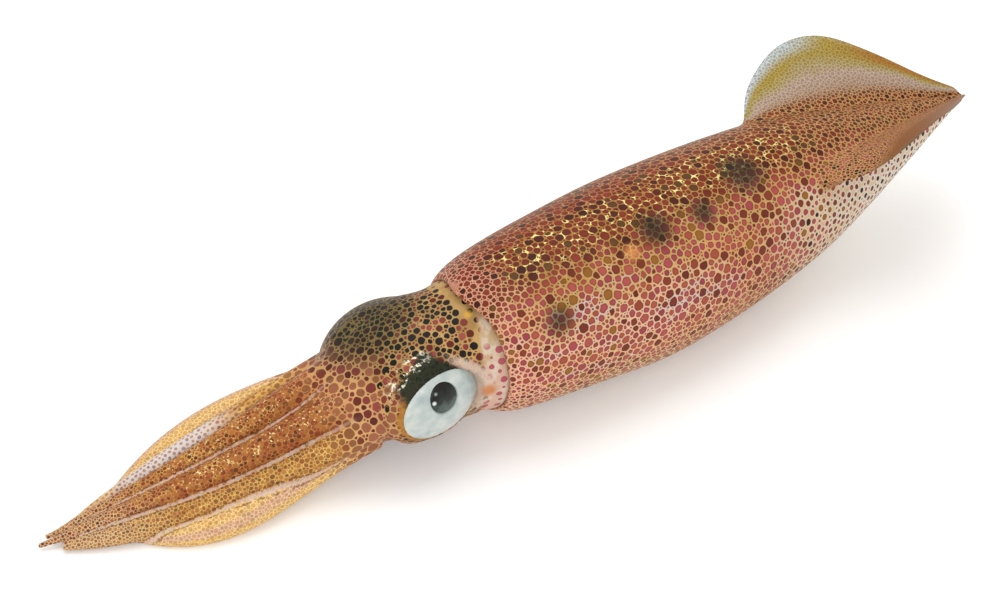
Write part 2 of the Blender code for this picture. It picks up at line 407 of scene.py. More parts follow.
@dataclass(frozen=True)
class SpotPacking:
    """Pigment spots packed on a skin without overlap, the largest first.

    Each face of the mesh keeps the few spots that can reach it, so that a shader can draw
    every spot as a true disc however coarse the mesh is.

    Args:
        sizes: for each size of spot, its smallest and largest radius and the tries made for
            each square millimetre, where the scale is one.
        seed: start of the random numbers.
        per_face: how many spots a face keeps.
        cell: size of the cells that places are looked up by.
        least_reach: how far from its rim a spot is looked for at least.
        margin: how much further than the largest spot's radius that is otherwise.
    """

    sizes: tuple = ((0.92, 1.12, 0.12), (0.64, 0.86, 4.0), (0.36, 0.56, 2.2), (0.22, 0.32, 2.0),
                    (0.14, 0.20, 1.2))
    seed: int = 7
    per_face: int = 5
    cell: float = 1.0
    least_reach: float = 0.6
    margin: float = 1.2

    def cell_of(self, place: list[float]) -> tuple[int, ...]:
        """Give the cell that holds a place."""
        return tuple(math.floor(value / self.cell) for value in place)

    def scatter(self, piece: bpy.types.Object, scale: np.ndarray,
                gap: np.ndarray) -> tuple[np.ndarray, dict]:
        """Pack spots over a skin.

        Args:
            piece: the mesh.
            scale: for each triangle, what the radii are multiplied by.
            gap: for each triangle, the least width of skin between two spots.

        Returns:
            One row for each spot, with its place, radius, and radius over scale; and the
            rows' numbers by the cells that each spot can reach.
        """
        points, corners = read_points(piece), read_triangles(piece)
        # A mesh's own order can differ from run to run, so the triangles are sorted by place.
        order = np.lexsort(points.T)
        points, corners = points[order], np.sort(np.argsort(order)[corners], axis=1)
        rows = np.lexsort(corners.T)
        corners, scale, gap = corners[rows], scale[rows], gap[rows]
        first, second, third = (points[corners[:, i]] for i in range(3))
        area = np.linalg.norm(np.cross(second - first, third - first), axis=1) / 2
        weight = area / scale ** 2
        draw = np.random.default_rng(self.seed)
        spots, cells = [], {}
        for smallest, largest, tries in self.sizes:
            count = int(weight.sum() * tries)
            chosen = draw.choice(len(corners), count, p=weight / weight.sum())
            a, b = draw.random((2, count, 1))
            folded = (a + b) > 1
            a, b = np.where(folded, 1 - a, a), np.where(folded, 1 - b, b)
            places = first[chosen] * (1 - a - b) + second[chosen] * a + third[chosen] * b
            low, high = smallest * scale[chosen], largest * scale[chosen]
            high = low + (high - low) * draw.random(count)
            for place, lower, upper, between, size in zip(
                    places.tolist(), low.tolist(), high.tolist(), gap[chosen].tolist(),
                    scale[chosen].tolist()):
                free = upper
                for index in cells.get(self.cell_of(place), ()):
                    near = spots[index]
                    free = min(free, math.dist(place, near[:3]) - near[3] - between)
                    if free < lower:
                        break
                if free < lower:
                    continue
                reach = free + max(between + largest * size * self.margin, self.least_reach)
                low_cell = self.cell_of([value - reach for value in place])
                high_cell = self.cell_of([value + reach for value in place])
                for i in range(low_cell[0], high_cell[0] + 1):
                    for j in range(low_cell[1], high_cell[1] + 1):
                        for k in range(low_cell[2], high_cell[2] + 1):
                            cells.setdefault((i, j, k), []).append(len(spots))
                spots.append((*place, free, free / size))
        return np.array(spots), cells

    def write(self, piece: bpy.types.Object, spots: np.ndarray, cells: dict,
              tints: np.ndarray) -> None:
        """Store on each face the spots that can reach it.

        Args:
            piece: the mesh.
            spots: the rows that scatter gives.
            cells: the rows' numbers by cell, from scatter.
            tints: where in the palette each spot's colour is read, from 0 to 1.
        """
        rows = spots[:, :4].tolist()
        # The last row is an absent spot, kept where fewer spots than per_face are near.
        absent = len(rows)
        places = np.vstack([spots[:, :3], (0.0, 0.0, -FAR_OFF)])
        # A vector holds three numbers, so the third is left at 0.
        facts = np.zeros_like(places)
        facts[:absent, 0], facts[:absent, 1] = spots[:, 3], tints
        nearest = []
        for face in piece.data.polygons:
            middle = (face.center / MM)[:]
            found = sorted((math.dist(middle, rows[index][:3]) - rows[index][3], index)
                           for index in cells.get(self.cell_of(middle), ()))
            kept = [index for _, index in found[:self.per_face]]
            nearest.append(kept + [absent] * (self.per_face - len(kept)))
        nearest = np.array(nearest)
        for i in range(self.per_face):
            for name, values in (("place", places[nearest[:, i]]),
                                 ("facts", facts[nearest[:, i]])):
                attribute = piece.data.attributes.new(f"spot_{name}_{i}", "FLOAT_VECTOR", "FACE")
                attribute.data.foreach_set("vector", values.astype(np.float32).ravel())


@dataclass(frozen=True)
class SpotShade:
    """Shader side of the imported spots: how deep in which spot each place is.

    Args:
        per_face: how many spots a face keeps.
        grow: how far each spot spreads past its packed radius where it has room.
        soften: how far from a corner the outline starts to round it.
        wander: how far the spots' outlines stray.
        wander_size: how wide those strays are.
    """

    per_face: int = 5
    grow: float = 0.15
    soften: float = 0.26
    wander: float = 0.14
    wander_size: float = 1.1

    def build(self, tree: bpy.types.NodeTree, place: object,
              line: object) -> tuple[object, object]:
        """Add the nodes that find the spot at each place.

        Args:
            tree: the node tree.
            place: the place on the body in millimetres.
            line: the width of the skin left between two spots that meet.

        Returns:
            The depth inside the nearest spot in millimetres, negative outside it, and where
            in the palette its colour is.
        """
        noise = add_node(tree, "TexNoise", {}, {"Vector": place, "Scale": 1 / self.wander_size,
                                                "Detail": 1.0})
        shift = add_node(tree, "VectorMath", SUBTRACT,
                         {0: noise.outputs["Color"], 1: (0.5, 0.5, 0.5)})
        moved = add_node(tree, "VectorMath", MULTIPLY_ADD,
                         {0: shift, 1: (self.wander * 2,) * 3, 2: place})
        best, second, facts = -FAR_OFF, -FAR_OFF, (0.0, 0.0, 0.0)
        for i in range(self.per_face):
            middle = add_node(tree, "Attribute", {"attribute_name": f"spot_place_{i}"})
            fact = add_node(tree, "Attribute", {"attribute_name": f"spot_facts_{i}"})
            away = add_node(tree, "VectorMath", DISTANCE,
                            {0: moved, 1: middle.outputs["Vector"]})
            radius = add_node(tree, "SeparateXYZ", {}, {0: fact.outputs["Vector"]})
            depth = add_node(tree, "Math", SUBTRACT, {0: radius, 1: away.outputs["Value"]})
            deeper = add_node(tree, "Math", {"operation": "GREATER_THAN"}, {0: depth, 1: best})
            facts = add_node(tree, "Mix", {"data_type": "VECTOR"},
                             {"Factor": deeper, "A": facts, "B": fact.outputs["Vector"]})
            lesser = add_node(tree, "Math", MINIMUM, {0: best, 1: depth})
            second = add_node(tree, "Math", MAXIMUM, {0: second, 1: lesser})
            best = add_node(tree, "Math", MAXIMUM, {0: best, 1: depth})
        lead = add_node(tree, "Math", SUBTRACT, {0: best, 1: second})
        lead = add_node(tree, "Math", SUBTRACT, {0: lead, 1: line})
        lead = add_node(tree, "Math", MULTIPLY, {0: lead, 1: 0.5})
        best = add_node(tree, "Math", ADD, {0: best, 1: self.grow})
        depth = add_node(tree, "Math", {"operation": "SMOOTH_MIN"},
                         {0: best, 1: lead, 2: self.soften})
        return depth, add_node(tree, "SeparateXYZ", {}, {0: facts}).outputs[1]


def lay_over(tree: bpy.types.NodeTree, base: object, *coats: tuple) -> object:
    """Lay colours over a base, one after the other.

    Args:
        tree: the node tree.
        base: the colour below.
        coats: pairs of a factor and a colour.

    Returns:
        The colour seen.
    """
    for factor, colour in coats:
        base = add_node(tree, "Mix", RGBA, {"Factor": factor, "A": base, "B": colour})
    return base


def band(tree: bpy.types.NodeTree, value: object, rise: tuple | None = None,
         fall: tuple | None = None, most: object = 1.0) -> object:
    """Give most between two soft edges and 0 outside them.

    Args:
        tree: the node tree.
        value: what the edges are measured on.
        rise: where it starts and ends rising, left out if it is high from the start.
        fall: where it starts and ends falling, left out if it stays high.
        most: the height between them, a number, a socket or a node.

    Returns:
        The node that gives it.
    """
    if rise:
        most = add_node(tree, "MapRange", SMOOTH,
                        {"Value": value, "From Min": rise[0], "From Max": rise[1],
                         "To Max": most})
    if fall:
        most = add_node(tree, "MapRange", SMOOTH,
                        {"Value": value, "From Min": fall[0], "From Max": fall[1],
                         "To Min": most, "To Max": 0.0})
    return most


def near_point(tree: bpy.types.NodeTree, place: object, point: tuple, inner: float,
               outer: float, most: object = 1.0) -> bpy.types.Node:
    """Give most within inner millimetres of a point, falling to 0 at outer."""
    away = add_node(tree, "VectorMath", DISTANCE, {0: place, 1: point})
    return band(tree, away.outputs["Value"], fall=(inner, outer), most=most)


def body_place(tree: bpy.types.NodeTree) -> bpy.types.Node:
    """Give the place on the body in millimetres from Object coordinates."""
    texture = add_node(tree, "TexCoord")
    return add_node(tree, "VectorMath", {"operation": "SCALE"},
                    {0: texture.outputs["Object"], "Scale": 1 / MM})


def turn_from_back(tree: bpy.types.NodeTree, place: object, height: float) -> bpy.types.Node:
    """Give the angle in degrees from the back, positive to +Y, round a line at a height.

    Args:
        tree: the node tree.
        place: the place on the body in millimetres.
        height: how high the line along X lies.

    Returns:
        The node that gives it.
    """
    split = add_node(tree, "SeparateXYZ", {}, {0: place})
    level = add_node(tree, "Math", SUBTRACT, {0: split.outputs[2], 1: height})
    turn = add_node(tree, "Math", {"operation": "ARCTAN2"}, {0: split.outputs[1], 1: level})
    return add_node(tree, "Math", {"operation": "DEGREES"}, {0: turn})


@dataclass(frozen=True)
class SkinFilm:
    """Clear wet film over raw skin: small soft highlights over a finely uneven surface."""

    roughness: float = 0.5
    specular: float = 0.2
    coat: float = 0.05
    coat_roughness: float = 0.22
    unevenness: float = 0.14
    unevenness_size: float = 0.6

    def dress(self, tree: bpy.types.NodeTree, shader: bpy.types.Node, colour: bpy.types.Node,
              place: object, mask: object) -> None:
        """Set the film on a skin's shader.

        Args:
            tree: the node tree.
            shader: the Principled shader.
            colour: the skin's colour.
            place: the place on the body in millimetres.
            mask: how much of a spot is under each place.
        """
        tree.links.new(colour.outputs[2], shader.inputs["Base Color"])
        pores = add_node(tree, "TexNoise", {}, {"Vector": place,
                                                "Scale": 1 / self.unevenness_size,
                                                "Detail": 3.0})
        relief = add_node(tree, "Math", MULTIPLY, {0: mask, 1: 0.04})
        height = add_node(tree, "Math", MULTIPLY_ADD, {0: pores, 1: self.unevenness, 2: relief})
        bump = add_node(tree, "Bump", {}, {"Height": height, "Distance": MM, "Strength": 0.6})
        tree.links.new(bump.outputs[0], shader.inputs["Normal"])
        shader.inputs["Roughness"].default_value = self.roughness
        shader.inputs["IOR"].default_value = 1.38
        shader.inputs["Specular IOR Level"].default_value = self.specular
        shader.inputs["Coat Weight"].default_value = self.coat
        shader.inputs["Coat Roughness"].default_value = self.coat_roughness


@dataclass(frozen=True)
class MantleSkin:
    """Raw squid skin, wet, with pigment spots under a clear film.

    The spots give the eye a fine net of pale lines; the film gives small soft highlights.
    """

    name: str = "raw_squid_skin_wet_mantle"
    axis_height: float = 17.4
    back_turn: float = 12.0
    # Net of skin between the spots, from the back round to the belly.
    net: tuple = ((0.0, "#A2562A"), (0.10, "#A0622E"), (0.17, "#9C7034"), (0.25, "#AE8648"),
                  (0.33, "#B89458"), (0.40, "#CCA474"), (0.50, "#DCB094"), (0.58, "#D8A478"),
                  (0.66, "#CCA274"), (0.80, "#CFB78E"), (1.0, "#CDC0AA"))
    back_spots: tuple = ((0.0, "#38120C"), (0.12, "#64200F"), (0.3, "#80301A"), (0.5, "#702712"),
                         (0.66, "#4C1A0C"), (0.8, "#3C1408"), (0.88, "#5E3A18"),
                         (1.0, "#200E0A"))
    flank_spots: tuple = ((0.0, "#4E1E1E"), (0.08, "#5E2626"), (0.12, "#903C42"),
                          (0.3, "#A44A4C"), (0.5, "#A45240"), (0.6, "#964632"),
                          (0.66, "#7A3424"), (0.8, "#66281C"), (0.86, "#946024"),
                          (0.92, "#8A5824"), (0.96, "#301410"), (1.0, "#1E100C"))
    # Dark smudges on the back: place and inner and outer size.
    smudges: tuple = (((14.8, -4.8, 32.9), 1.5, 6.6), ((-8.3, -7.9, 32.8), 1.0, 5.2),
                      ((2.3, -8.8, 32.0), 0.4, 4.2), ((-33.6, -12.9, 27.4), 0.0, 4.6))
    glow: tuple = (-15.0, -9.7, 31.7)
    lobe: tuple = (-46.6, 2.4, 30.6)

    def off_back(self, points: np.ndarray) -> np.ndarray:
        """Give how many degrees each point lies from the crown of the back's colour."""
        turn = np.degrees(np.arctan2(points[:, 1], points[:, 2] - self.axis_height))
        return np.abs(turn - self.back_turn)

    def spot_sizes(self, points: np.ndarray, fins: np.ndarray) -> tuple[np.ndarray, np.ndarray]:
        """Give the spots' scale and the skin between them, region by region.

        Args:
            points: places on the skin.
            fins: share of the way out along a fin at each.

        Returns:
            The scale and the gap in millimetres.
        """
        x, off = points[:, 0], self.off_back(points)
        back = 1 - ramp_between(off, 30, 60)
        pale = ramp_between(x, 10, 34) * ramp_between(off, 48, 72)
        low = ramp_between(off, 92, 120)
        belly = ramp_between(off, 122, 150)
        fin = ramp_between(fins, 0.02, 0.2)
        scale = (0.86 - 0.08 * back) * (1 - 0.34 * (1 - ramp_between(x, -45, -34)))
        scale *= 1 - 0.45 * ramp_between(x, 16, 58)
        scale *= 1 - 0.22 * low
        scale += (0.36 - scale) * pale * 0.85
        scale += (0.3 - scale) * fin
        gap = 0.1 + 0.62 * pale + 0.5 * belly
        return scale, gap + (0.16 - gap) * fin

    def spot_tints(self, spots: np.ndarray, seed: int) -> np.ndarray:
        """Choose where in the palette each spot's colour is read, by its size and place.

        Args:
            spots: the rows that the packing gives.
            seed: start of the random numbers.

        Returns:
            A number from 0 to 1 for each spot.
        """
        draw = np.random.default_rng(seed)
        share, pick = draw.random((2, len(spots)))
        size = spots[:, 4]
        rose = 0.12 + 0.46 * share
        brown = 0.62 + 0.18 * share
        tint = np.where(pick < 0.85, rose, brown)
        tint = np.where((size > 0.6) & (pick > 0.84), brown, tint)
        tint = np.where((size > 0.6) & (pick > 0.965), 0.9, tint)
        tint = np.where((size > 0.88) & (pick > 0.45), brown, tint)
        tint = np.where((size > 0.88) & (pick > 0.85), 0.9, tint)
        tint = np.where(size < 0.22, 0.05 * share, tint)
        pale = ramp_between(spots[:, 0], 14, 40) * ramp_between(self.off_back(spots), 44, 68)
        dark = (pick < 0.3 * pale) & (size > 0.22)
        return np.where(dark, 0.96 + 0.04 * share, tint)

    def build_net(self, tree: bpy.types.NodeTree, place: object, along: object, turn: object,
                  off_back: object, pale_rear: object) -> object:
        """Add the colour of the skin between the spots.

        Slow mottling and streaks along the body break it up, and painted highlights, bright gold
        glints, lie along the crown of the back.

        Args:
            tree: the node tree.
            place: the place on the body in millimetres.
            along: its X.
            turn: its angle from the back.
            off_back: how far it is from the crown of the back's colour, in degrees.
            pale_rear: how much it is on the pale rear flank.

        Returns:
            The colour.
        """
        share = add_node(tree, "Math", MULTIPLY, {0: off_back, 1: 1 / HALF_TURN})
        net = add_node(tree, "ValToRGB", {"stops": self.net}, {"Fac": share})
        mottle = add_node(tree, "TexNoise", {}, {"Vector": place, "Scale": 0.7, "Detail": 3.0})
        drawn = add_node(tree, "VectorMath", MULTIPLY, {0: place, 1: (0.06, 0.4, 0.4)})
        streak = add_node(tree, "TexNoise", {}, {"Vector": drawn, "Scale": 1.0, "Detail": 2.0})
        flank = band(tree, off_back, rise=(52.0, 66.0), fall=(100.0, 120.0), most=0.7)
        collar = band(tree, along, fall=(-44.0, -34.0), most=0.5)
        rear = band(tree, along, rise=(-20.0, 36.0), most=0.8)
        # Painted highlight: bright gold glints in the net along the crown of the back.
        glints = add_node(tree, "TexNoise", {}, {"Vector": place, "Scale": 0.9, "Detail": 2.0})
        crown = band(tree, turn, rise=(-26.0, -10.0), fall=(6.0, 14.0))
        crown = band(tree, along, rise=(-42.0, -34.0), fall=(22.0, 40.0), most=crown)
        return lay_over(
            tree, net,
            (band(tree, mottle, rise=(0.45, 0.7), most=0.45), srgb("#CDB080")),
            (band(tree, streak, rise=(0.52, 0.68), most=flank), srgb("#C4B4B4")),
            (band(tree, streak, fall=(0.36, 0.46), most=flank), srgb("#CE9058")),
            (collar, srgb("#E2A68E")),
            (rear, srgb("#B88C54")),
            (band(tree, crown, rise=(0.0, 1.0), most=0.7), srgb("#9E7030")),
            (pale_rear, srgb("#CDB898")),
            (band(tree, glints, rise=(0.53, 0.62), most=crown), srgb("#F0E08C")))

    def build_fins(self, tree: bpy.types.NodeTree, along: object, across: object,
                   fin: object, patches: object) -> object:
        """Add the colour of the clear film on the fins between their dots.

        The left fin is brown all over. The right one has a yellow band and an orange-brown rim
        behind, and the light that comes through it is painted in, which makes it paler with a
        bluish clear rim in front.

        Args:
            tree: the node tree.
            along: the place's X in millimetres.
            across: its Y.
            fin: share of the way out along the fin.
            patches: slow noise.

        Returns:
            The colour.
        """
        out = add_node(tree, "Math", MULTIPLY_ADD, {0: patches, 1: 0.3, 2: fin})
        out = add_node(tree, "Math", SUBTRACT, {0: out, 1: 0.15})
        # Painted light: the right fin's paleness and bluish front rim stand in for light that
        # comes through it.
        right = add_node(tree, "ValToRGB",
                         {"stops": ((0.0, "#9A7850"), (0.15, "#A8907A"), (0.42, "#B4A292"),
                                    (0.56, "#A89C66"), (0.7, "#A49240"), (0.88, "#A6943E"),
                                    (1.0, "#AFAE84"))}, {"Fac": out})
        left = add_node(tree, "ValToRGB",
                        {"stops": ((0.0, "#8E6238"), (0.3, "#8E6240"), (0.5, "#8E5628"),
                                   (0.85, "#844E20"), (1.0, "#746040"))}, {"Fac": out})
        side = add_node(tree, "MapRange", {}, {"Value": across, "From Min": -1.0,
                                               "From Max": 1.0})
        front = band(tree, along, fall=(47.0, 56.0))
        rear = band(tree, along, rise=(54.0, 66.0))
        right = lay_over(tree, right,
                         (band(tree, fin, rise=(0.7, 0.9), most=front), srgb("#B8C6C6")),
                         (band(tree, fin, rise=(0.55, 0.8), most=rear), srgb("#A27024")))
        return lay_over(tree, left, (side, right))

    def mark_coats(self, tree: bpy.types.NodeTree, place: object, along: object,
                   turn: object) -> list[tuple]:
        """Give the smudges on the back, the glow, the collar's lobe and its brown edge.

        Args:
            tree: the node tree.
            place: the place on the body in millimetres.
            along: its X.
            turn: its angle from the back.

        Returns:
            Pairs of a factor and a colour.
        """
        coats = [(near_point(tree, place, point, inner, outer, 0.8), srgb("#1E2016"))
                 for point, inner, outer in self.smudges]
        turned = add_node(tree, "Math", ABSOLUTE, {0: turn})
        front = add_node(tree, "MapRange", SMOOTH, {"Value": turned, "From Min": 0.0,
                                                    "From Max": 44.0, "To Min": -46.9,
                                                    "To Max": -44.8})
        behind = add_node(tree, "Math", SUBTRACT, {0: along, 1: front})
        return coats + [
            (near_point(tree, place, self.glow, 0.2, 2.4, 0.45), srgb("#F0A860")),
            (near_point(tree, place, self.lobe, 1.0, 2.2, 0.9), srgb("#B87C66")),
            (band(tree, behind, fall=(0.0, 0.4), most=0.6), srgb("#96643C"))]

    def build(self) -> bpy.types.Material:
        """Make the material.

        Returns:
            The finished material.
        """
        material, tree, shader = new_material(self.name)
        place = body_place(tree)
        along, across, _ = add_node(tree, "SeparateXYZ", {}, {0: place}).outputs
        turn = turn_from_back(tree, place, self.axis_height)
        fin = add_node(tree, "Attribute", {"attribute_name": "fin_share"}).outputs["Fac"]
        patches = add_node(tree, "TexNoise", {}, {"Vector": place, "Scale": 0.14,
                                                  "Detail": 3.0})
        uneven = add_node(tree, "Math", MULTIPLY_ADD, {0: patches, 1: 40.0, 2: -20.0})
        off_back = add_node(tree, "Math", SUBTRACT, {0: turn, 1: self.back_turn})
        off_back = add_node(tree, "Math", ABSOLUTE, {0: off_back})
        off_back = add_node(tree, "Math", ADD, {0: off_back, 1: uneven})
        back = band(tree, off_back, fall=(26.0, 54.0))
        rear = band(tree, along, rise=(8.0, 52.0))
        off_fin = band(tree, fin, fall=(0.0, 0.06), most=rear)
        pale_rear = band(tree, off_back, rise=(52.0, 70.0), most=off_fin)
        gap = add_node(tree, "Math", MULTIPLY_ADD, {0: back, 1: -0.07, 2: 0.21})
        line = add_node(tree, "MapRange", SMOOTH, {"Value": fin, "From Min": 0.05,
                                                   "From Max": 0.2, "To Min": gap,
                                                   "To Max": 0.08})
        depth, tint = SpotShade().build(tree, place, line)
        mask = band(tree, depth, rise=(-0.04, 0.07))

        net = self.build_net(tree, place, along, turn, off_back, pale_rear)
        halo = band(tree, depth, rise=(-0.4, -0.1), most=pale_rear)
        net = lay_over(tree, net, (halo, srgb("#DAD2C6")))
        dark = add_node(tree, "ValToRGB", {"stops": self.back_spots}, {"Fac": tint})
        rose = add_node(tree, "ValToRGB", {"stops": self.flank_spots}, {"Fac": tint})
        rim = band(tree, depth, fall=(0.1, 0.36), most=0.3)
        spot = lay_over(tree, rose, (back, dark), (rim, srgb("#3A1210")))

        # The left fin keeps the back's pattern at its root and in front.
        root = add_node(tree, "MapRange", SMOOTH, {"Value": along, "From Min": 32.0,
                                                   "From Max": 48.0, "To Min": 0.9,
                                                   "To Max": 0.35})
        root_end = add_node(tree, "Math", ADD, {0: root, 1: 0.3})
        left_fin = band(tree, fin, rise=(root, root_end))
        right_fin = band(tree, fin, rise=(0.04, 0.3))
        on_fin = add_node(tree, "MapRange", {}, {"Value": across, "From Min": -1.0,
                                                 "From Max": 1.0, "To Min": left_fin,
                                                 "To Max": right_fin})
        fins = self.build_fins(tree, along, across, fin, patches)
        net = lay_over(tree, net, (on_fin, fins))
        spot = lay_over(tree, spot, (on_fin, srgb("#74492A")))
        faint = add_node(tree, "MapRange", {}, {"Value": on_fin, "From Min": 0.3,
                                                "From Max": 1.0, "To Min": 1.0,
                                                "To Max": 0.55})
        mask = add_node(tree, "Math", MULTIPLY, {0: mask, 1: faint})
        colour = lay_over(tree, net, (mask, spot))
        colour = lay_over(tree, colour, *self.mark_coats(tree, place, along, turn))
        SkinFilm().dress(tree, shader, colour, place, mask)
        return material


@dataclass(frozen=True)
class HeadSkin:
    """Raw squid skin of the head and arms, wet, with near-black spots on a gold net.

    The dark spots give the head its grain, the small ones on the arms a fine speckle, and
    the film gives small soft highlights.
    """

    name: str = "raw_squid_skin_wet_head"
    axis_height: float = 15.0
    spots: tuple = ((0.0, "#44180F"), (0.25, "#66261C"), (0.45, "#8C4038"), (0.6, "#A06046"),
                    (0.75, "#825030"), (0.85, "#241814"), (1.0, "#12100C"))
    arm_spots: tuple = ((0.0, "#6E3016"), (0.3, "#8E4A24"), (0.5, "#A66C30"), (0.75, "#7A4822"),
                        (1.0, "#2A140A"))
    # Middle of the painted shade over the far top of the head.
    far_shade: tuple = (-60.0, 11.0, 24.0)
    neck_gold: tuple = (-46.6, -2.9, 28.3)
    neck_orange: tuple = (-47.9, -11.0, 16.8)

    def spot_sizes(self, points: np.ndarray, pale: np.ndarray) -> tuple[np.ndarray, np.ndarray]:
        """Give the spots' scale and the skin between them, region by region.

        Args:
            points: places on the skin.
            pale: how pale the arm is at each.

        Returns:
            The scale and the gap in millimetres.
        """
        x = points[:, 0]
        front = ramp_between(-x, 62, 68)
        arms = ramp_between(-x, 71, 80)
        neck = ramp_between(x, -48.8, -47.4)
        scale = 0.6 + 0.34 * front
        scale += (0.36 - 0.1 * ramp_between(-x, 90, 118) - scale) * arms
        scale += (0.5 - scale) * neck
        scale *= 1 - 0.4 * pale * arms
        gap = 0.16 + 0.9 * neck - 0.04 * arms
        return scale, gap + 0.4 * pale * arms

    def spot_tints(self, spots: np.ndarray, seed: int) -> np.ndarray:
        """Choose where in the palette each spot's colour is read, by its size and place.

        Args:
            spots: the rows that the packing gives.
            seed: start of the random numbers.

        Returns:
            A number from 0 to 1 for each spot.
        """
        draw = np.random.default_rng(seed)
        share, pick = draw.random((2, len(spots)))
        size = spots[:, 4]
        front = ramp_between(-spots[:, 0], 60, 68)
        tint = 0.1 + 0.4 * share
        black = (size > 0.5) & (pick > 0.42 + 0.57 * front)
        muted = (size > 0.56) & ~black & (pick < 0.7 * front)
        tint = np.where(black, 0.86 + 0.14 * share, tint)
        tint = np.where(muted, 0.62 + 0.14 * share, tint)
        return np.where(spots[:, 0] < -76.0, 0.92 * share, tint)

    def build_arms(self, tree: bpy.types.NodeTree, place: object) -> object:
        """Add the colour of the arms between their dots.

        Args:
            tree: the node tree.
            place: the place on the body in millimetres.

        Returns:
            The colour.
        """
        tone, pale, ridge = (
            add_node(tree, "Attribute", {"attribute_name": name}).outputs["Fac"]
            for name in ("arm_tone", "arm_pale", "arm_ridge"))
        brown = add_node(tree, "ValToRGB",
                         {"stops": ((0.0, "#FADCA2"), (0.12, "#F0C880"), (0.5, "#CCA058"),
                                    (0.8, "#B87838"), (1.0, "#AC6632"))}, {"Fac": tone})
        mottle = add_node(tree, "TexNoise", {}, {"Vector": place, "Scale": 0.8, "Detail": 3.0})
        drawn = add_node(tree, "VectorMath", MULTIPLY, {0: place, 1: (0.1, 0.9, 0.9)})
        streak = add_node(tree, "TexNoise", {}, {"Vector": drawn, "Scale": 1.0, "Detail": 3.0})
        along = add_node(tree, "SeparateXYZ", {}, {0: place}).outputs[0]
        pale = band(tree, along, rise=(-114.0, -105.0), fall=(-93.0, -83.0), most=pale)
        brown_streaks = add_node(tree, "MapRange", SMOOTH, {"Value": tone, "From Min": 0.2,
                                                            "From Max": 0.8, "To Min": 0.25,
                                                            "To Max": 0.7})
        root = band(tree, tone, rise=(0.6, 0.8), most=0.55)
        tips = band(tree, along, fall=(-118.0, -102.0), most=0.65)
        yellow = band(tree, tone, fall=(0.1, 0.3), most=0.75)
        return lay_over(
            tree, brown,
            (band(tree, mottle, rise=(0.5, 0.68), most=0.5), srgb("#D8B050")),
            (band(tree, mottle, fall=(0.3, 0.42), most=0.4), srgb("#94502A")),
            (band(tree, streak, rise=(0.54, 0.66), most=brown_streaks), srgb("#84431F")),
            (band(tree, streak, fall=(0.34, 0.44), most=0.5), srgb("#E8C474")),
            (band(tree, along, rise=(-90.0, -76.0), most=root), srgb("#A2572E")),
            (tips, srgb("#DCC29A")),
            (band(tree, ridge, rise=(0.1, 0.4), fall=(0.65, 0.9), most=yellow), srgb("#DDB49C")),
            (pale, srgb("#D2CCCC")))

    def groove_coats(self, tree: bpy.types.NodeTree, crease: object, to_arms: object,
                     grain: object, patches: object) -> list[tuple]:
        """Give the pale grooves between the arms and the broken brown painted shade along their
        edges.

        Args:
            tree: the node tree.
            crease: how close the place is to a second arm.
            to_arms: how much it is on the arms.
            grain: fine noise.
            patches: broken noise.

        Returns:
            Pairs of a factor and a colour.
        """
        groove = add_node(tree, "Math", MULTIPLY_ADD, {0: grain, 1: 0.9, 2: crease})
        # Painted shade: broken brown lines along the edges of each crease where two arms meet.
        outline = band(tree, groove, rise=(0.7, 0.85), fall=(1.0, 1.2), most=to_arms)
        outline = band(tree, patches, rise=(0.42, 0.5), most=outline)
        outline = add_node(tree, "Math", MULTIPLY, {0: outline, 1: 0.6})
        groove = band(tree, groove, rise=(1.15, 1.45), most=to_arms)
        groove = add_node(tree, "Math", MULTIPLY, {0: groove, 1: 0.75})
        return [(outline, srgb("#5A2E16")), (groove, srgb("#CDB4A8"))]

    def eye_coats(self, tree: bpy.types.NodeTree, place: object, left: object, mask: object,
                  grain: object, sparks: object, patches: object) -> list[tuple]:
        """Give the marks round the eyes.

        Behind each eye lies a pale fold, in front of it an orange-brown rim, below it a row
        of dark dashes and above it a dark brow. On the left the brow's edge has painted
        highlights, small white sparkles.

        Args:
            tree: the node tree.
            place: the place on the body in millimetres.
            left: how much it is on the left side.
            mask: how much of a spot is under it.
            grain: fine noise.
            sparks: finer noise.
            patches: broken noise.

        Returns:
            Pairs of a factor and a colour.
        """
        lid, above, ahead = (
            add_node(tree, "Attribute", {"attribute_name": name}).outputs["Fac"]
            for name in ("eye_lid", "eye_above", "eye_ahead"))
        uneven = add_node(tree, "Math", MULTIPLY_ADD, {0: grain, 1: 1.2, 2: lid})
        brow = band(tree, above, rise=(0.12, 0.42), most=0.96)
        brow = band(tree, ahead, fall=(0.6, 0.85), most=brow)
        clear = add_node(tree, "Math", MULTIPLY_ADD, {0: mask, 1: -0.8, 2: 1.0})
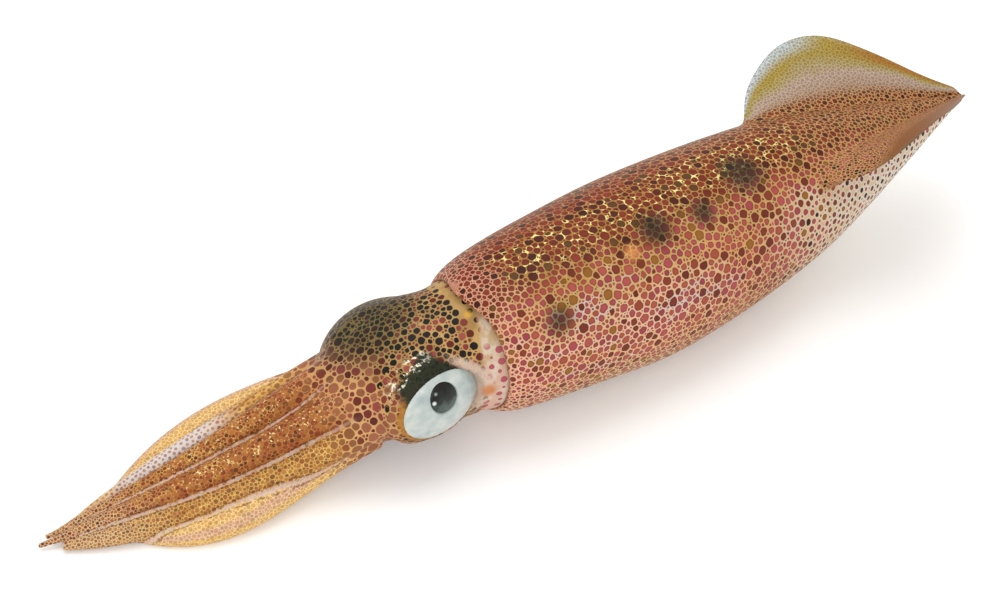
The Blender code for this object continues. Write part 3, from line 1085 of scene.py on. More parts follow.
        # Painted highlights: small white sparkles along the left brow's edge.
        sparkle = band(tree, above, rise=(0.2, 0.5), most=left)
        sparkle = band(tree, ahead, rise=(-0.4, 0.0), fall=(0.75, 0.95), most=sparkle)
        sparkle = band(tree, uneven, rise=(1.9, 2.4), fall=(4.0, 5.0), most=sparkle)
        sparkle = band(tree, patches, rise=(0.53, 0.58), most=sparkle)
        sparkle = add_node(tree, "Math", MULTIPLY, {0: sparkle, 1: clear})
        narrow = band(tree, ahead, fall=(-0.85, -0.1), most=3.0)
        brow_gap = add_node(tree, "Math", ADD, {0: uneven, 1: narrow})
        brow = band(tree, brow_gap, fall=(2.5, 3.5), most=brow)
        green = band(tree, sparks, rise=(0.46, 0.6), most=brow)
        rim = band(tree, ahead, rise=(0.3, 0.6), most=0.85)
        rim = band(tree, uneven, fall=(1.0, 1.4), most=rim)
        fold = band(tree, ahead, fall=(-0.8, -0.4), most=0.8)
        fold = band(tree, uneven, fall=(1.6, 2.6), most=fold)
        dashes = add_node(tree, "TexNoise", {}, {"Vector": place, "Scale": 1.1, "Detail": 0.0})
        below = band(tree, above, fall=(-0.6, -0.3), most=0.85)
        below = band(tree, uneven, rise=(0.7, 1.0), fall=(1.6, 2.0), most=below)
        dash = band(tree, dashes, rise=(0.48, 0.54), most=below)
        return [(fold, srgb("#CDB6A4")), (rim, srgb("#A8742A")), (dash, srgb("#2A1C12")),
                (brow, srgb("#161C12")), (green, srgb("#242E1A")),
                (sparkle, srgb("#F0EAD0"))]

    def build(self) -> bpy.types.Material:
        """Make the material.

        Returns:
            The finished material.
        """
        material, tree, shader = new_material(self.name)
        place = body_place(tree)
        along, across, _ = add_node(tree, "SeparateXYZ", {}, {0: place}).outputs
        turn = turn_from_back(tree, place, self.axis_height)
        ridge, tone, crease, pale = (
            add_node(tree, "Attribute", {"attribute_name": name}).outputs["Fac"]
            for name in ("arm_ridge", "arm_tone", "arm_crease", "arm_pale"))
        left = add_node(tree, "MapRange", {}, {"Value": across, "From Min": 2.0,
                                               "From Max": 6.0, "To Min": 1.0,
                                               "To Max": 0.0})
        to_arms = band(tree, along, fall=(-78.0, -69.0))
        to_front = band(tree, along, fall=(-70.0, -62.0))
        neck_front = add_node(tree, "MapRange", SMOOTH, {"Value": turn, "From Min": -64.0,
                                                         "From Max": 4.0, "To Min": -49.0,
                                                         "To Max": -45.4})
        past_neck = add_node(tree, "Math", SUBTRACT, {0: along, 1: neck_front})
        neck = band(tree, past_neck, rise=(0.0, 1.0))
        line = add_node(tree, "MapRange", SMOOTH, {"Value": along, "From Min": -80.0,
                                                   "From Max": -71.0, "To Min": 0.08,
                                                   "To Max": 0.16})
        depth, tint = SpotShade(grow=0.12, soften=0.2, wander=0.12).build(tree, place, line)
        mask = band(tree, depth, rise=(-0.04, 0.06))
        clean = band(tree, turn, rise=(-46.0, -34.0), most=neck)
        clean = add_node(tree, "Math", SUBTRACT, {0: 1.0, 1: clean})
        mask = add_node(tree, "Math", MULTIPLY, {0: mask, 1: clean})
        yellow = band(tree, tone, fall=(0.15, 0.7), most=0.5)
        faint = add_node(tree, "Math", MULTIPLY_ADD, {0: pale, 1: 0.3, 2: yellow})
        faint = add_node(tree, "Math", MULTIPLY, {0: faint, 1: to_arms})
        faint = add_node(tree, "Math", SUBTRACT, {0: 1.0, 1: faint})
        mask = add_node(tree, "Math", MULTIPLY, {0: mask, 1: faint})

        mottle = add_node(tree, "TexNoise", {}, {"Vector": place, "Scale": 0.35, "Detail": 3.0})
        net = add_node(tree, "ValToRGB", {"stops": ((0.3, "#94703E"), (0.65, "#B8945A"))},
                       {"Fac": mottle})
        neck_net = band(tree, turn, rise=(-70.0, -40.0))
        neck_net = lay_over(tree, srgb("#C8A490"), (neck_net, srgb("#B69870")),
                            (band(tree, mottle, rise=(0.46, 0.62), most=0.65),
                             srgb("#D4C6B6")))
        net = lay_over(tree, net, (to_front, srgb("#C89864")),
                       (to_arms, self.build_arms(tree, place)), (neck, neck_net))
        spot = lay_over(tree,
                        add_node(tree, "ValToRGB", {"stops": self.spots}, {"Fac": tint}),
                        (to_arms,
                         add_node(tree, "ValToRGB", {"stops": self.arm_spots}, {"Fac": tint})),
                        (neck, srgb("#A8525A")))
        colour = lay_over(tree, net, (mask, spot))

        grain = add_node(tree, "TexNoise", {}, {"Vector": place, "Scale": 1.3, "Detail": 2.0})
        sparks = add_node(tree, "TexNoise", {}, {"Vector": place, "Scale": 2.1, "Detail": 1.0})
        patches = add_node(tree, "TexNoise", {}, {"Vector": place, "Scale": 0.9, "Detail": 3.0})
        # Painted highlight: a broken pale gold line along the tops of the brown arms.
        ridge_highlight = band(tree, ridge, rise=(0.45, 0.8), most=to_arms)
        ridge_highlight = band(tree, tone, rise=(0.7, 0.85), most=ridge_highlight)
        ridge_highlight = band(tree, along, rise=(-108.0, -98.0), fall=(-70.0, -66.0), most=ridge_highlight)
        # Painted shade: the far top of the head darkens to dark olive, over its net and its
        # spots.
        far_shade_mask = near_point(tree, place, self.far_shade, 5.0, 15.0, 0.92)
        between = add_node(tree, "Math", MULTIPLY_ADD, {0: mask, 1: -0.8, 2: 0.8})
        far_rim = band(tree, turn, rise=(72.0, 86.0), fall=(92.0, 118.0), most=0.6)
        far_rim = band(tree, along, rise=(-72.0, -60.0), fall=(-57.0, -46.0), most=far_rim)
        shaded_net = add_node(tree, "Math", MULTIPLY, {0: far_shade_mask, 1: between})
        shaded_spot = add_node(tree, "Math", MULTIPLY, {0: far_shade_mask, 1: mask})
        colour = lay_over(
            tree, colour,
            *self.groove_coats(tree, crease, to_arms, grain, patches),
            (shaded_net, srgb("#42401F")),
            (shaded_spot, srgb("#171A10")),
            (far_rim, srgb("#6E7A70")),
            *self.eye_coats(tree, place, left, mask, grain, sparks, patches),
            (band(tree, sparks, rise=(0.62, 0.7), most=ridge_highlight), srgb("#E6CA90")),
            (near_point(tree, place, self.neck_gold, 0.3, 1.2, 0.8), srgb("#DCAA3C")),
            (near_point(tree, place, self.neck_orange, 0.6, 2.0, 0.8), srgb("#C0702A")))
        SkinFilm().dress(tree, shader, colour, place, mask)
        return material


@dataclass(frozen=True)
class EyeballFinish:
    """Squid eyeball, wet, with a silvery white iris.

    Slow clouds keep the white from looking flat, and the wet coat catches the lights sharply.
    """

    name: str = "squid_eyeball_silvery_wet"

    def build(self) -> bpy.types.Material:
        """Make the material.

        Returns:
            The finished material.
        """
        material, tree, shader = new_material(self.name)
        place = body_place(tree)
        cloud = add_node(tree, "TexNoise", {}, {"Vector": place, "Scale": 0.35, "Detail": 4.0})
        white = add_node(tree, "ValToRGB",
                         {"stops": ((0.32, "#9AA6A6"), (0.5, "#B0B9B5"), (0.7, "#C6CAC3"))},
                         {"Fac": cloud})
        tree.links.new(white.outputs[0], shader.inputs["Base Color"])
        shader.inputs["Roughness"].default_value = 0.22
        shader.inputs["Coat Weight"].default_value = 0.6
        shader.inputs["Coat Roughness"].default_value = 0.05
        return material


@dataclass(frozen=True)
class LensFinish:
    """Squid pupil, a dark glossy lens.

    It is nearly black above, with a painted grey reflection below and two small painted
    glints that give the eye life.
    """

    name: str = "squid_eye_lens_glossy"
    # Places of the two painted glints.
    glint: tuple = (-59.3, -10.3, 19.3)
    upper_glint: tuple = (-58.7, -10.1, 21.0)

    def build(self) -> bpy.types.Material:
        """Make the material.

        Returns:
            The finished material.
        """
        material, tree, shader = new_material(self.name)
        place = body_place(tree)
        cloud = add_node(tree, "TexNoise", {}, {"Vector": place, "Scale": 0.5, "Detail": 3.0})
        # Painted reflection: the lens greys towards its lower part.
        low = add_node(tree, "SeparateXYZ", {}, {0: place}).outputs[2]
        low = band(tree, low, rise=(0.0, 1.0), fall=(18.2, 20.2), most=0.35)
        cloud = add_node(tree, "Math", ADD, {0: cloud, 1: low})
        dark = add_node(tree, "ValToRGB",
                        {"stops": ((0.45, "#0C0A08"), (0.7, "#1C241E"), (0.95, "#4A5650"))},
                        {"Fac": cloud})
        lit = lay_over(tree, dark,
                       (near_point(tree, place, self.glint, 0.15, 0.55), srgb("#D8E2DC")),
                       (near_point(tree, place, self.upper_glint, 0.1, 0.55, 0.8),
                        srgb("#C8D2CC")))
        tree.links.new(lit.outputs[2], shader.inputs["Base Color"])
        shader.inputs["Roughness"].default_value = 0.3
        shader.inputs["Specular IOR Level"].default_value = 0.2
        shader.inputs["Coat Weight"].default_value = 0.3
        shader.inputs["Coat Roughness"].default_value = 0.06
        return material


@dataclass(frozen=True)
class FloorFinish:
    """Studio floor, painted matt white.

    It gives the eye an even pale ground on which only the soft shadow shows, lightened by a
    faint painted glow.
    """

    name: str = "studio_floor_matt_white"

    def build(self) -> bpy.types.Material:
        """Make the material.

        Returns:
            The finished material.
        """
        material, tree, shader = new_material(self.name)
        texture = add_node(tree, "TexCoord")
        tone = add_node(tree, "ValToRGB", {"stops": ((0.3, "#F4F3F2"), (0.7, "#F7F6F5"))},
                        {"Fac": add_node(tree, "TexNoise", {},
                                         {"Vector": texture.outputs["Object"], "Scale": 3.0})})
        tree.links.new(tone.outputs[0], shader.inputs["Base Color"])
        shader.inputs["Roughness"].default_value = 0.9
        shader.inputs["Specular IOR Level"].default_value = 0.1
        # Painted light: a faint bluish glow lightens the floor's shadow and offsets the body's
        # warm bounce.
        shader.inputs["Emission Color"].default_value = srgb("#E6F0FA")
        shader.inputs["Emission Strength"].default_value = 0.15
        return material


@dataclass(frozen=True)
class SkinPoint:
    """Point of a section, in millimetres, with its share of the way out along a fin."""

    place: Vector
    fin: float = 0.0


def triangle_means(piece: bpy.types.Object, values: np.ndarray) -> np.ndarray:
    """Average a value of each point over each triangle of a mesh."""
    return values[read_triangles(piece)].mean(axis=1)


@dataclass
class Mantle:
    """Mantle with both fins, open in front as a shallow cup round the neck."""

    collar_x: float = -45.0
    tail_x: float = 76.58
    radius: Profile = Profile((
        (-45, 13.4), (-41, 14.9), (-34, 16.0), (-22, 17.1), (-8, 18.0), (6, 17.4), (20, 16.0),
        (32, 14.1), (44, 10.9), (56, 7.2), (66, 4.0), (73, 1.7), (77, 0.8)))
    height: Profile = Profile((
        (-45, 17.9), (-34, 17.9), (-22, 17.4), (-8, 16.7), (6, 16.8), (20, 17.2), (32, 17.7),
        (44, 18.1), (56, 18.6), (66, 19.0), (77, 19.4)))
    collar_wall: float = 1.2
    collar_depth: float = 5.0
    lip: float = 0.7
    lobe: float = 2.2
    lobe_angle: float = 24.0
    fin_front_x: float = 28.5
    fin_span: Profile = Profile((
        (28.5, 0.0), (33, 6.6), (39, 12.2), (45, 16.2), (51, 18.0), (57, 17.2), (64, 12.2),
        (71, 5.8), (77, 1.0)))
    root_angle: float = 46.0
    root_spread: float = 9.0
    fin_half_thickness: float = 0.55
    full_thickness_span: float = 5.0
    rise: dict = field(default_factory=lambda: {
        Side.LEFT: Profile(((30, 14), (38, 32), (46, 43), (54, 47), (77, 46))),
        Side.RIGHT: Profile(((30, 20), (46, 26), (60, 29), (77, 30)))})
    back_count: int = 6
    fin_count: int = 7
    belly_count: int = 13
    front_stations: int = 34
    rear_stations: int = 30

    def point(self, x: float, angle: float, inset: float = 0.0) -> Vector:
        """Find a point of the mantle's wall.

        Args:
            x: the station.
            angle: radians from the back, positive to +Y.
            inset: how far inside the skin.

        Returns:
            The point in millimetres.
        """
        radius = self.radius.at(x) - inset
        lobe = self.lobe * math.exp(-(math.degrees(angle) / self.lobe_angle) ** 2)
        fade = math.exp(-(x - self.collar_x) / self.collar_depth)
        return Vector((x - lobe * fade, radius * math.sin(angle),
                       self.height.at(x) + radius * math.cos(angle)))

    def flank(self, x: float, side: Side) -> list[SkinPoint]:
        """Trace half a section, from beside the back to beside the belly.

        Args:
            x: the station.
            side: which side of the animal.

        Returns:
            The half section's points in order.
        """
        sign = side.value
        root, spread = math.radians(self.root_angle), math.radians(self.root_spread)
        span = self.fin_span.at(x) if x > self.fin_front_x else 0.0
        rise = math.radians(self.rise[side].at(x))
        outward = Vector((0, sign * math.cos(rise), math.sin(rise)))
        upward = Vector((0, -sign * math.sin(rise), math.cos(rise)))
        thickness = self.fin_half_thickness * min(1.0, span / self.full_thickness_span)

        def on_fin(share: float, face: int) -> SkinPoint:
            """Find a point of the fin.

            Args:
                share: 0 at its root and 1 at its rim.
                face: 1 on its upper face and -1 on its lower one.

            Returns:
                The point, with its share.
            """
            angle = root - face * spread * (1 - share) ** 2
            edge = thickness * (1 - share ** 4)
            place = (self.point(x, sign * angle) + outward * span * share
                     + upward * face * edge)
            return SkinPoint(place, share if span > 0 else 0.0)

        points = [SkinPoint(self.point(x, sign * (root - spread) * i / self.back_count))
                  for i in range(1, self.back_count)]
        points += [on_fin(i / self.fin_count, 1) for i in range(self.fin_count + 1)]
        points += [on_fin(i / self.fin_count, -1) for i in reversed(range(self.fin_count))]
        low = root + spread
        points += [SkinPoint(self.point(x, sign * (low + (math.pi - low) * i / self.belly_count)))
                   for i in range(1, self.belly_count)]
        return points

    def section(self, x: float) -> list[SkinPoint]:
        """Trace a whole section, from the back round the left side and up the right."""
        return ([SkinPoint(self.point(x, 0.0))] + self.flank(x, Side.LEFT)
                + [SkinPoint(self.point(x, math.pi))] + self.flank(x, Side.RIGHT)[::-1])

    def cup(self, x: float, inset: float) -> list[SkinPoint]:
        """Trace the space inside the collar, point for point with the wall.

        Args:
            x: the station.
            inset: how far inside the skin.

        Returns:
            The section's points in order.
        """
        height = self.height.at(self.collar_x)
        turns = [math.atan2(point.place.y, point.place.z - height)
                 for point in self.section(self.collar_x)]
        return [SkinPoint(self.point(x, turn, inset)) for turn in turns]

    def stations(self) -> list[list[SkinPoint]]:
        """Give every section, from inside the collar out over its lip to the tail.

        Returns:
            The sections in order.
        """
        wall = spaced(self.collar_x + self.lip, self.fin_front_x, self.front_stations)
        wall += spaced(self.fin_front_x, self.tail_x, self.rear_stations)[1:]
        sections = [self.cup(self.collar_x + self.collar_depth, self.collar_wall),
                    self.cup(self.collar_x + self.lip, self.collar_wall),
                    self.cup(self.collar_x, self.collar_wall / 2)]
        return sections + [self.section(x) for x in wall]

    def write_fins(self, piece: bpy.types.Object, rings: list[list[int]],
                   sections: list[list[SkinPoint]]) -> None:
        """Store each point's share of the way out along a fin, before subdividing.

        Args:
            piece: the drawn tube.
            rings: the numbers of each ring's points.
            sections: the section that each ring lies on.
        """
        fins = np.zeros(len(piece.data.vertices))
        for ring, section in zip(rings, sections):
            fins[ring] = [point.fin for point in section]
        write_attribute(piece, "fin_share", fins)

    def build(self) -> bpy.types.Object:
        """Make the mantle.

        Returns:
            The finished, dressed mesh.
        """
        sections = self.stations()
        tube = DrawnTube("mantle_and_fins", [point.place for point in sections[0]])
        for section in sections[1:]:
            tube.draw([point.place for point in section])
        rings = tube.rings
        piece = tube.finish()
        self.write_fins(piece, rings, sections)
        settle_order(piece)
        apply_modifier(piece, "SUBSURF", levels=2, render_levels=2)
        points = read_points(piece)
        points[:, 2] = np.maximum(points[:, 2], 0.0)
        write_points(piece, points)
        skin, packing = MantleSkin(), SpotPacking(seed=11)
        fins = triangle_means(piece, read_attribute(piece, "fin_share"))
        sizes = skin.spot_sizes(triangle_means(piece, points), fins)
        spots, cells = packing.scatter(piece, *sizes)
        packing.write(piece, spots, cells, skin.spot_tints(spots, 3))
        LOG.info("mantle spots: %d", len(spots))
        piece.data.materials.clear()
        piece.data.materials.append(skin.build())
        return piece


@dataclass(frozen=True)
class Arm:
    """One arm: an oval section that tapers along its route to a blunt tip.

    Args:
        angle: degrees round the crown from the back.
        tip: where the arm ends.
        bow: how far it bows to the side.
        peak: where the bow peaks, as an exponent.
        sag: how far it sinks between its ends.
        half_width: half its width at the root.
        half_height: half its height at the root.
        taper: how late it narrows.
        tone: how brown it is, from 0, yellow, to 1.
        pale: how pale it is.
    """

    angle: float
    tip: tuple[float, float, float]
    bow: float
    peak: float
    sag: float
    half_width: float
    half_height: float
    taper: float
    tone: float
    pale: float = 0.0


@dataclass
class HeadAndArms:
    """Neck, head, funnel and eight arms as one fused skin, with a socket for each eye.

    The eyeballs stand a little proud of the head, and the lids rise round each of them.
    """

    middle_y: Profile = Profile((
        (-85, 8.0), (-77, 6.6), (-72, 5.8), (-66, 5.2), (-60, 4.8), (-54, 3.7), (-48, 1.5),
        (-43, 0.2), (-32, 0.0)))
    middle_z: Profile = Profile((
        (-85, 9.0), (-77, 10.6), (-72, 12.0), (-66, 13.5), (-60, 14.8), (-54, 15.8), (-48, 16.8),
        (-43, 17.7), (-32, 17.8)))
    half_width: Profile = Profile((
        (-85, 4.0), (-77, 6.8), (-72, 8.8), (-66, 10.8), (-60, 12.8), (-54, 13.2),
        (-48, 12.3), (-43, 12.8), (-32, 11.0)))
    half_height: Profile = Profile((
        (-85, 3.2), (-77, 4.8), (-72, 6.6), (-66, 8.6), (-60, 10.6), (-54, 11.7),
        (-48, 12.1), (-43, 12.7), (-32, 11.0)))
    inside_x: float = -32.0
    front_x: float = -85.0
    head_rings: int = 40
    head_sides: int = 48
    eye_x: float = -57.0
    eye_angles: dict = field(default_factory=lambda: {Side.LEFT: -83.0, Side.RIGHT: 101.0})
    eye_half: tuple[float, float, float] = (8.7, 6.9, 3.6)
    eye_sink: float = 2.0
    eye_yaw: float = 9.0
    eye_droop: float = 12.0
    lid_bulge: float = 0.9
    lid_reach: float = 9.0
    lid_spread: float = 42.0
    # How high each eye opens, as a share of its half height.
    lid_top: dict = field(default_factory=lambda: {Side.LEFT: 0.97, Side.RIGHT: 0.15})
    lid_bottom: float = 0.92
    lid_corner: float = 0.95
    # How steeply the skin falls away from each eyeball, how that steepens further out, and
    # how far out it reaches.
    lid_slope: dict = field(default_factory=lambda: {Side.LEFT: (8.0, 0.0),
                                                     Side.RIGHT: (5.0, 13.0)})
    lid_end: dict = field(default_factory=lambda: {Side.LEFT: 1.2, Side.RIGHT: 1.6})
    lid_cover: float = 0.22
    # Share of the eyeball's half size past which the lids fall away.
    lid_edge: float = 0.97
    # How wide the lids' inner edge is, as a share of the opening.
    lid_lip: float = 0.12
    socket_floor: float = 1.2
    funnel_base: tuple[float, float, float] = (-42.0, 0.8, 11.6)
    funnel_mouth: tuple[float, float, float] = (-59.5, 3.4, 3.9)
    funnel_radii: tuple[float, float] = (5.2, 3.3)
    funnel_wall: float = 0.9
    funnel_hollow: float = 5.0
    funnel_rings: int = 12
    funnel_sides: int = 24
    arm_root_x: float = -66.0
    crown: tuple[float, float] = (5.2, 12.9)
    crown_half: tuple[float, float] = (8.6, 5.6)
    tip_radius: float = 0.5
    fullness: float = 0.66
    arm_rings: int = 26
    arm_sides: int = 16
    aim_step: float = 0.02
    voxel: float = 0.36
    arms: dict = field(default_factory=lambda: {
        "right_1": Arm(26, (-124.0, 17.9, 1.0), -1.4, 1.2, 0.8, 2.9, 2.9, 2.2, 0.8),
        "left_1": Arm(-34, (-126.0, 16.9, 0.9), -1.2, 1.2, 1.0, 3.0, 3.0, 2.2, 1.0),
        "right_2": Arm(68, (-119.0, 18.6, 0.8), 0.6, 1.0, 0.4, 2.8, 2.7, 2.4, 0.6,
                       0.85),
        "left_2": Arm(-84, (-122.8, 13.9, 1.0), -1.4, 1.2, 2.2, 3.0, 2.9, 5.0, 0.5),
        "right_3": Arm(104, (-113.5, 17.4, 0.9), 5.3, 1.0, 0.2, 3.9, 2.4, 3.0, 0.1),
        "left_3": Arm(-136, (-111.9, 8.9, 0.8), -5.0, 1.8, 1.2, 3.1, 3.6, 3.4, 0.1),
        "right_4": Arm(146, (-115.0, 15.2, 0.7), -0.6, 1.0, 1.8, 2.8, 2.5, 2.6, 0.3),
        "left_4": Arm(-168, (-115.0, 12.2, 0.7), -1.2, 1.0, 1.8, 2.8, 2.5, 2.6, 0.3)})

    def centre(self, x: float) -> Vector:
        """Find the middle of the neck and head at a station."""
        return Vector((x, self.middle_y.at(x), self.middle_z.at(x)))

    def point(self, x: float, angle: float) -> Vector:
        """Find a point of the head's skin, with the lids standing out round both eyes.

        Args:
            x: the station.
            angle: radians from the back, positive to +Y.

        Returns:
            The point in millimetres.
        """
        turn = math.degrees(math.atan2(math.sin(angle), math.cos(angle)))
        along = (x - self.eye_x) / self.lid_reach
        lid = sum(self.lid_bulge * math.exp(-along ** 2 - ((turn - eye) / self.lid_spread) ** 2)
                  for eye in self.eye_angles.values())
        return self.centre(x) + Vector((0.0, (self.half_width.at(x) + lid) * math.sin(angle),
                                        (self.half_height.at(x) + lid) * math.cos(angle)))

    def eye_frame(self, side: Side) -> Matrix:
        """Find an eye's place and turn in millimetres.

        Args:
            side: which eye.

        Returns:
            A matrix whose X runs along the head and whose Z faces out.
        """
        seat = self.point(self.eye_x, math.radians(self.eye_angles[side]))
        out = (seat - self.centre(self.eye_x)).normalized()
        along = Vector((-1.0, math.tan(math.radians(self.eye_yaw)),
                        -math.tan(math.radians(self.eye_droop))))
        along = (along - out * along.dot(out)).normalized()
        turn = Matrix((along, out.cross(along), out)).transposed().to_4x4()
        return Matrix.Translation(seat - out * self.eye_sink) @ turn

    def build_head(self) -> bpy.types.Object:
        """Draw the neck and head, from inside the mantle to where the arms grow.

        Returns:
            The closed tube.
        """
        angles = [-2 * math.pi * i / self.head_sides for i in range(self.head_sides)]
        places = spaced(self.inside_x, self.front_x, self.head_rings)
        tube = DrawnTube("head", [self.point(places[0], angle) for angle in angles])
        for x in places[1:]:
            tube.draw([self.point(x, angle) for angle in angles])
        return tube.finish()

    def middle_line(self, arm: Arm, shares: np.ndarray) -> np.ndarray:
        """Find points of an arm's middle line, at shares of its length.

        Args:
            arm: which arm.
            shares: 0 at its root and 1 at its tip.

        Returns:
            One row in millimetres for each share.
        """
        turn = math.radians(arm.angle)
        root = np.array((self.arm_root_x, self.crown[0] + self.crown_half[0] * math.sin(turn),
                         self.crown[1] + self.crown_half[1] * math.cos(turn)))
        line = root + (np.array(arm.tip) - root) * shares[:, None]
        line[:, 1] += arm.bow * np.sin(math.pi * shares ** arm.peak)
        line[:, 2] -= arm.sag * np.sin(math.pi * shares)
        return line

    def route(self, arm: Arm, share: float) -> Vector:
        """Find a point of an arm's middle line, at a share of its length."""
        return Vector(self.middle_line(arm, np.array([share]))[0])

    def arm_axes(self, arm: Arm, share: float) -> tuple[Vector, Vector]:
        """Give an arm's sideways and upward directions at a share of its length.

        Args:
            arm: which arm.
            share: 0 at its root and 1 at its tip.

        Returns:
            Two unit vectors.
        """
        forward = (self.route(arm, min(share + self.aim_step, 1.0))
                   - self.route(arm, max(share - self.aim_step, 0.0))).normalized()
        across = forward.cross(Vector((0, 0, 1))).normalized()
        return across, across.cross(forward)

    def build_arm(self, name: str, arm: Arm) -> bpy.types.Object:
        """Draw one arm.

        Args:
            name: which arm, for the piece's name.
            arm: its route and size.

        Returns:
            The closed tube.
        """
        turns = spaced(0.0, 2 * math.pi, self.arm_sides + 1)[:-1]
        tube = None
        for share in spaced(0.0, 1.0, self.arm_rings):
            across, up = self.arm_axes(arm, share)
            size = (1.0 - share ** arm.taper) ** self.fullness
            wide = max(arm.half_width * size, self.tip_radius)
            tall = max(arm.half_height * size, self.tip_radius)
            ring = [self.route(arm, share) + across * wide * math.cos(turn)
                    + up * tall * math.sin(turn) for turn in turns]
            if tube is None:
                tube = DrawnTube("arm_" + name, ring)
            else:
                tube.draw(ring)
        return tube.finish()

    def build_funnel(self) -> bpy.types.Object:
        """Draw the funnel under the neck, with a blind hollow in its mouth.

        Returns:
            The closed tube.
        """
        base, mouth = Vector(self.funnel_base), Vector(self.funnel_mouth)
        forward = (mouth - base).normalized()
        across = forward.cross(Vector((0, 0, 1))).normalized()
        up = across.cross(forward)
        turns = spaced(0.0, 2 * math.pi, self.funnel_sides + 1)[:-1]

        def ring(centre: Vector, radius: float) -> list[Vector]:
            """Give a ring of points square to the funnel."""
            return [centre + (across * math.cos(turn) + up * math.sin(turn)) * radius
                    for turn in turns]

        wide, narrow = self.funnel_radii
        tube = DrawnTube("funnel", ring(base, wide))
        for share in spaced(0.0, 1.0, self.funnel_rings)[1:]:
            tube.draw(ring(base.lerp(mouth, share), wide + (narrow - wide) * share))
        inside = narrow - self.funnel_wall
        for depth in (0.0, self.funnel_hollow / 2, self.funnel_hollow):
            tube.draw(ring(mouth - forward * depth, inside))
        return tube.finish()

    def lid_gape(self, side: Side, local: np.ndarray) -> np.ndarray:
        """Give 1 on the lids' edge, less inside the opening and more outside it.

        Args:
            side: which eye.
            local: points in the eye's frame in millimetres.

        Returns:
            The value at each point.
        """
        top, bottom = self.lid_top[side], self.lid_bottom
        height = local[:, 1] * side.value / self.eye_half[1]
        return np.hypot(local[:, 0] / self.eye_half[0] / self.lid_corner,
                        (height - (top - bottom) / 2) / ((top + bottom) / 2))

    def seat_eyes(self, points: np.ndarray) -> np.ndarray:
        """Sink a socket under each eyeball and raise the lids round it.

        Args:
            points: the fused skin's points in millimetres.

        Returns:
            The points with both sockets in them.
        """
        half = np.array(self.eye_half)
        for side in Side:
            eye = np.array(self.eye_frame(side))
            local = (points - eye[:3, 3]) @ eye[:3, :3]
            spread = np.hypot(local[:, 0] / half[0], local[:, 1] / half[1])
            gape = self.lid_gape(side, local)
            facing = (local[:, 2] > -2 * half[2]) & (spread < self.lid_end[side])
            ball = half[2] * np.sqrt(1 - np.minimum(spread, self.lid_edge) ** 2)
            past = np.maximum(spread - self.lid_edge, 0.0)
            slope, steepening = self.lid_slope[side]
            fall = slope * past + steepening * past ** 2
            lid = ball + self.lid_cover - fall
            opening = ramp_between(-gape, -1.0, self.lid_lip - 1.0)
            sunk = ball + self.lid_cover - (self.lid_cover + self.socket_floor) * opening
            covered = facing & (gape >= 1.0)
            local[covered, 2] = np.maximum(local[covered, 2], lid[covered])
            opened = facing & (gape < 1.0)
            local[opened, 2] = sunk[opened]
            points = local @ eye[:3, :3].T + eye[:3, 3]
        return points

    def write_arm_marks(self, piece: bpy.types.Object, points: np.ndarray) -> np.ndarray:
        """Store which arm each point is on: its brownness, creases, paleness and ridge.

        Args:
            piece: the fused skin.
            points: its points in millimetres.

        Returns:
            How pale each point is.
        """
        away, ridges = [], []
        for arm in self.arms.values():
            share = np.clip((self.arm_root_x - points[:, 0]) / (self.arm_root_x - arm.tip[0]),
                            0.0, 1.0)
            offset = points - self.middle_line(arm, share)
            size = (1 - share ** arm.taper) ** self.fullness
            size = size * (arm.half_width + arm.half_height) / 2
            away.append(np.linalg.norm(offset, axis=1) / np.maximum(size, self.tip_radius))
            ridges.append(offset[:, 2] / np.maximum(np.hypot(offset[:, 1], offset[:, 2]), 0.1))
        away, ridges = np.array(away), np.array(ridges)
        order = np.sort(away, axis=0)
        nearest = away.argmin(axis=0)
        arms = list(self.arms.values())
        pale = np.array([arm.pale for arm in arms])[nearest]
        write_attribute(piece, "arm_tone", np.array([arm.tone for arm in arms])[nearest])
        write_attribute(piece, "arm_crease", 1 - ramp_between(order[1] - order[0], 0.05, 0.5))
        write_attribute(piece, "arm_pale", pale)
        write_attribute(piece, "arm_ridge", np.choose(nearest, ridges))
        return pale

    def write_eye_marks(self, piece: bpy.types.Object, points: np.ndarray) -> None:
        """Store how far each point lies from the nearer eye's lids, above and ahead of it.

        Args:
            piece: the fused skin.
            points: its points in millimetres.
        """
        spreads, lids, heights, leads = [], [], [], []
        for side in Side:
            eye = np.array(self.eye_frame(side))
            local = (points - eye[:3, 3]) @ eye[:3, :3]
            half = np.array(self.eye_half)
            behind = np.clip(-local[:, 2] - half[2], 0.0, None) / half[2]
            spreads.append(np.hypot(local[:, 0] / half[0], local[:, 1] / half[1]) + behind)
            lids.append((self.lid_gape(side, local) - 1 + behind) * half[1])
            heights.append(local[:, 1] * side.value / half[1])
            leads.append(local[:, 0] / half[0])
        nearer = np.argmin(spreads, axis=0)
        write_attribute(piece, "eye_lid", np.choose(nearer, lids))
        write_attribute(piece, "eye_above", np.choose(nearer, heights))
        write_attribute(piece, "eye_ahead", np.choose(nearer, leads))

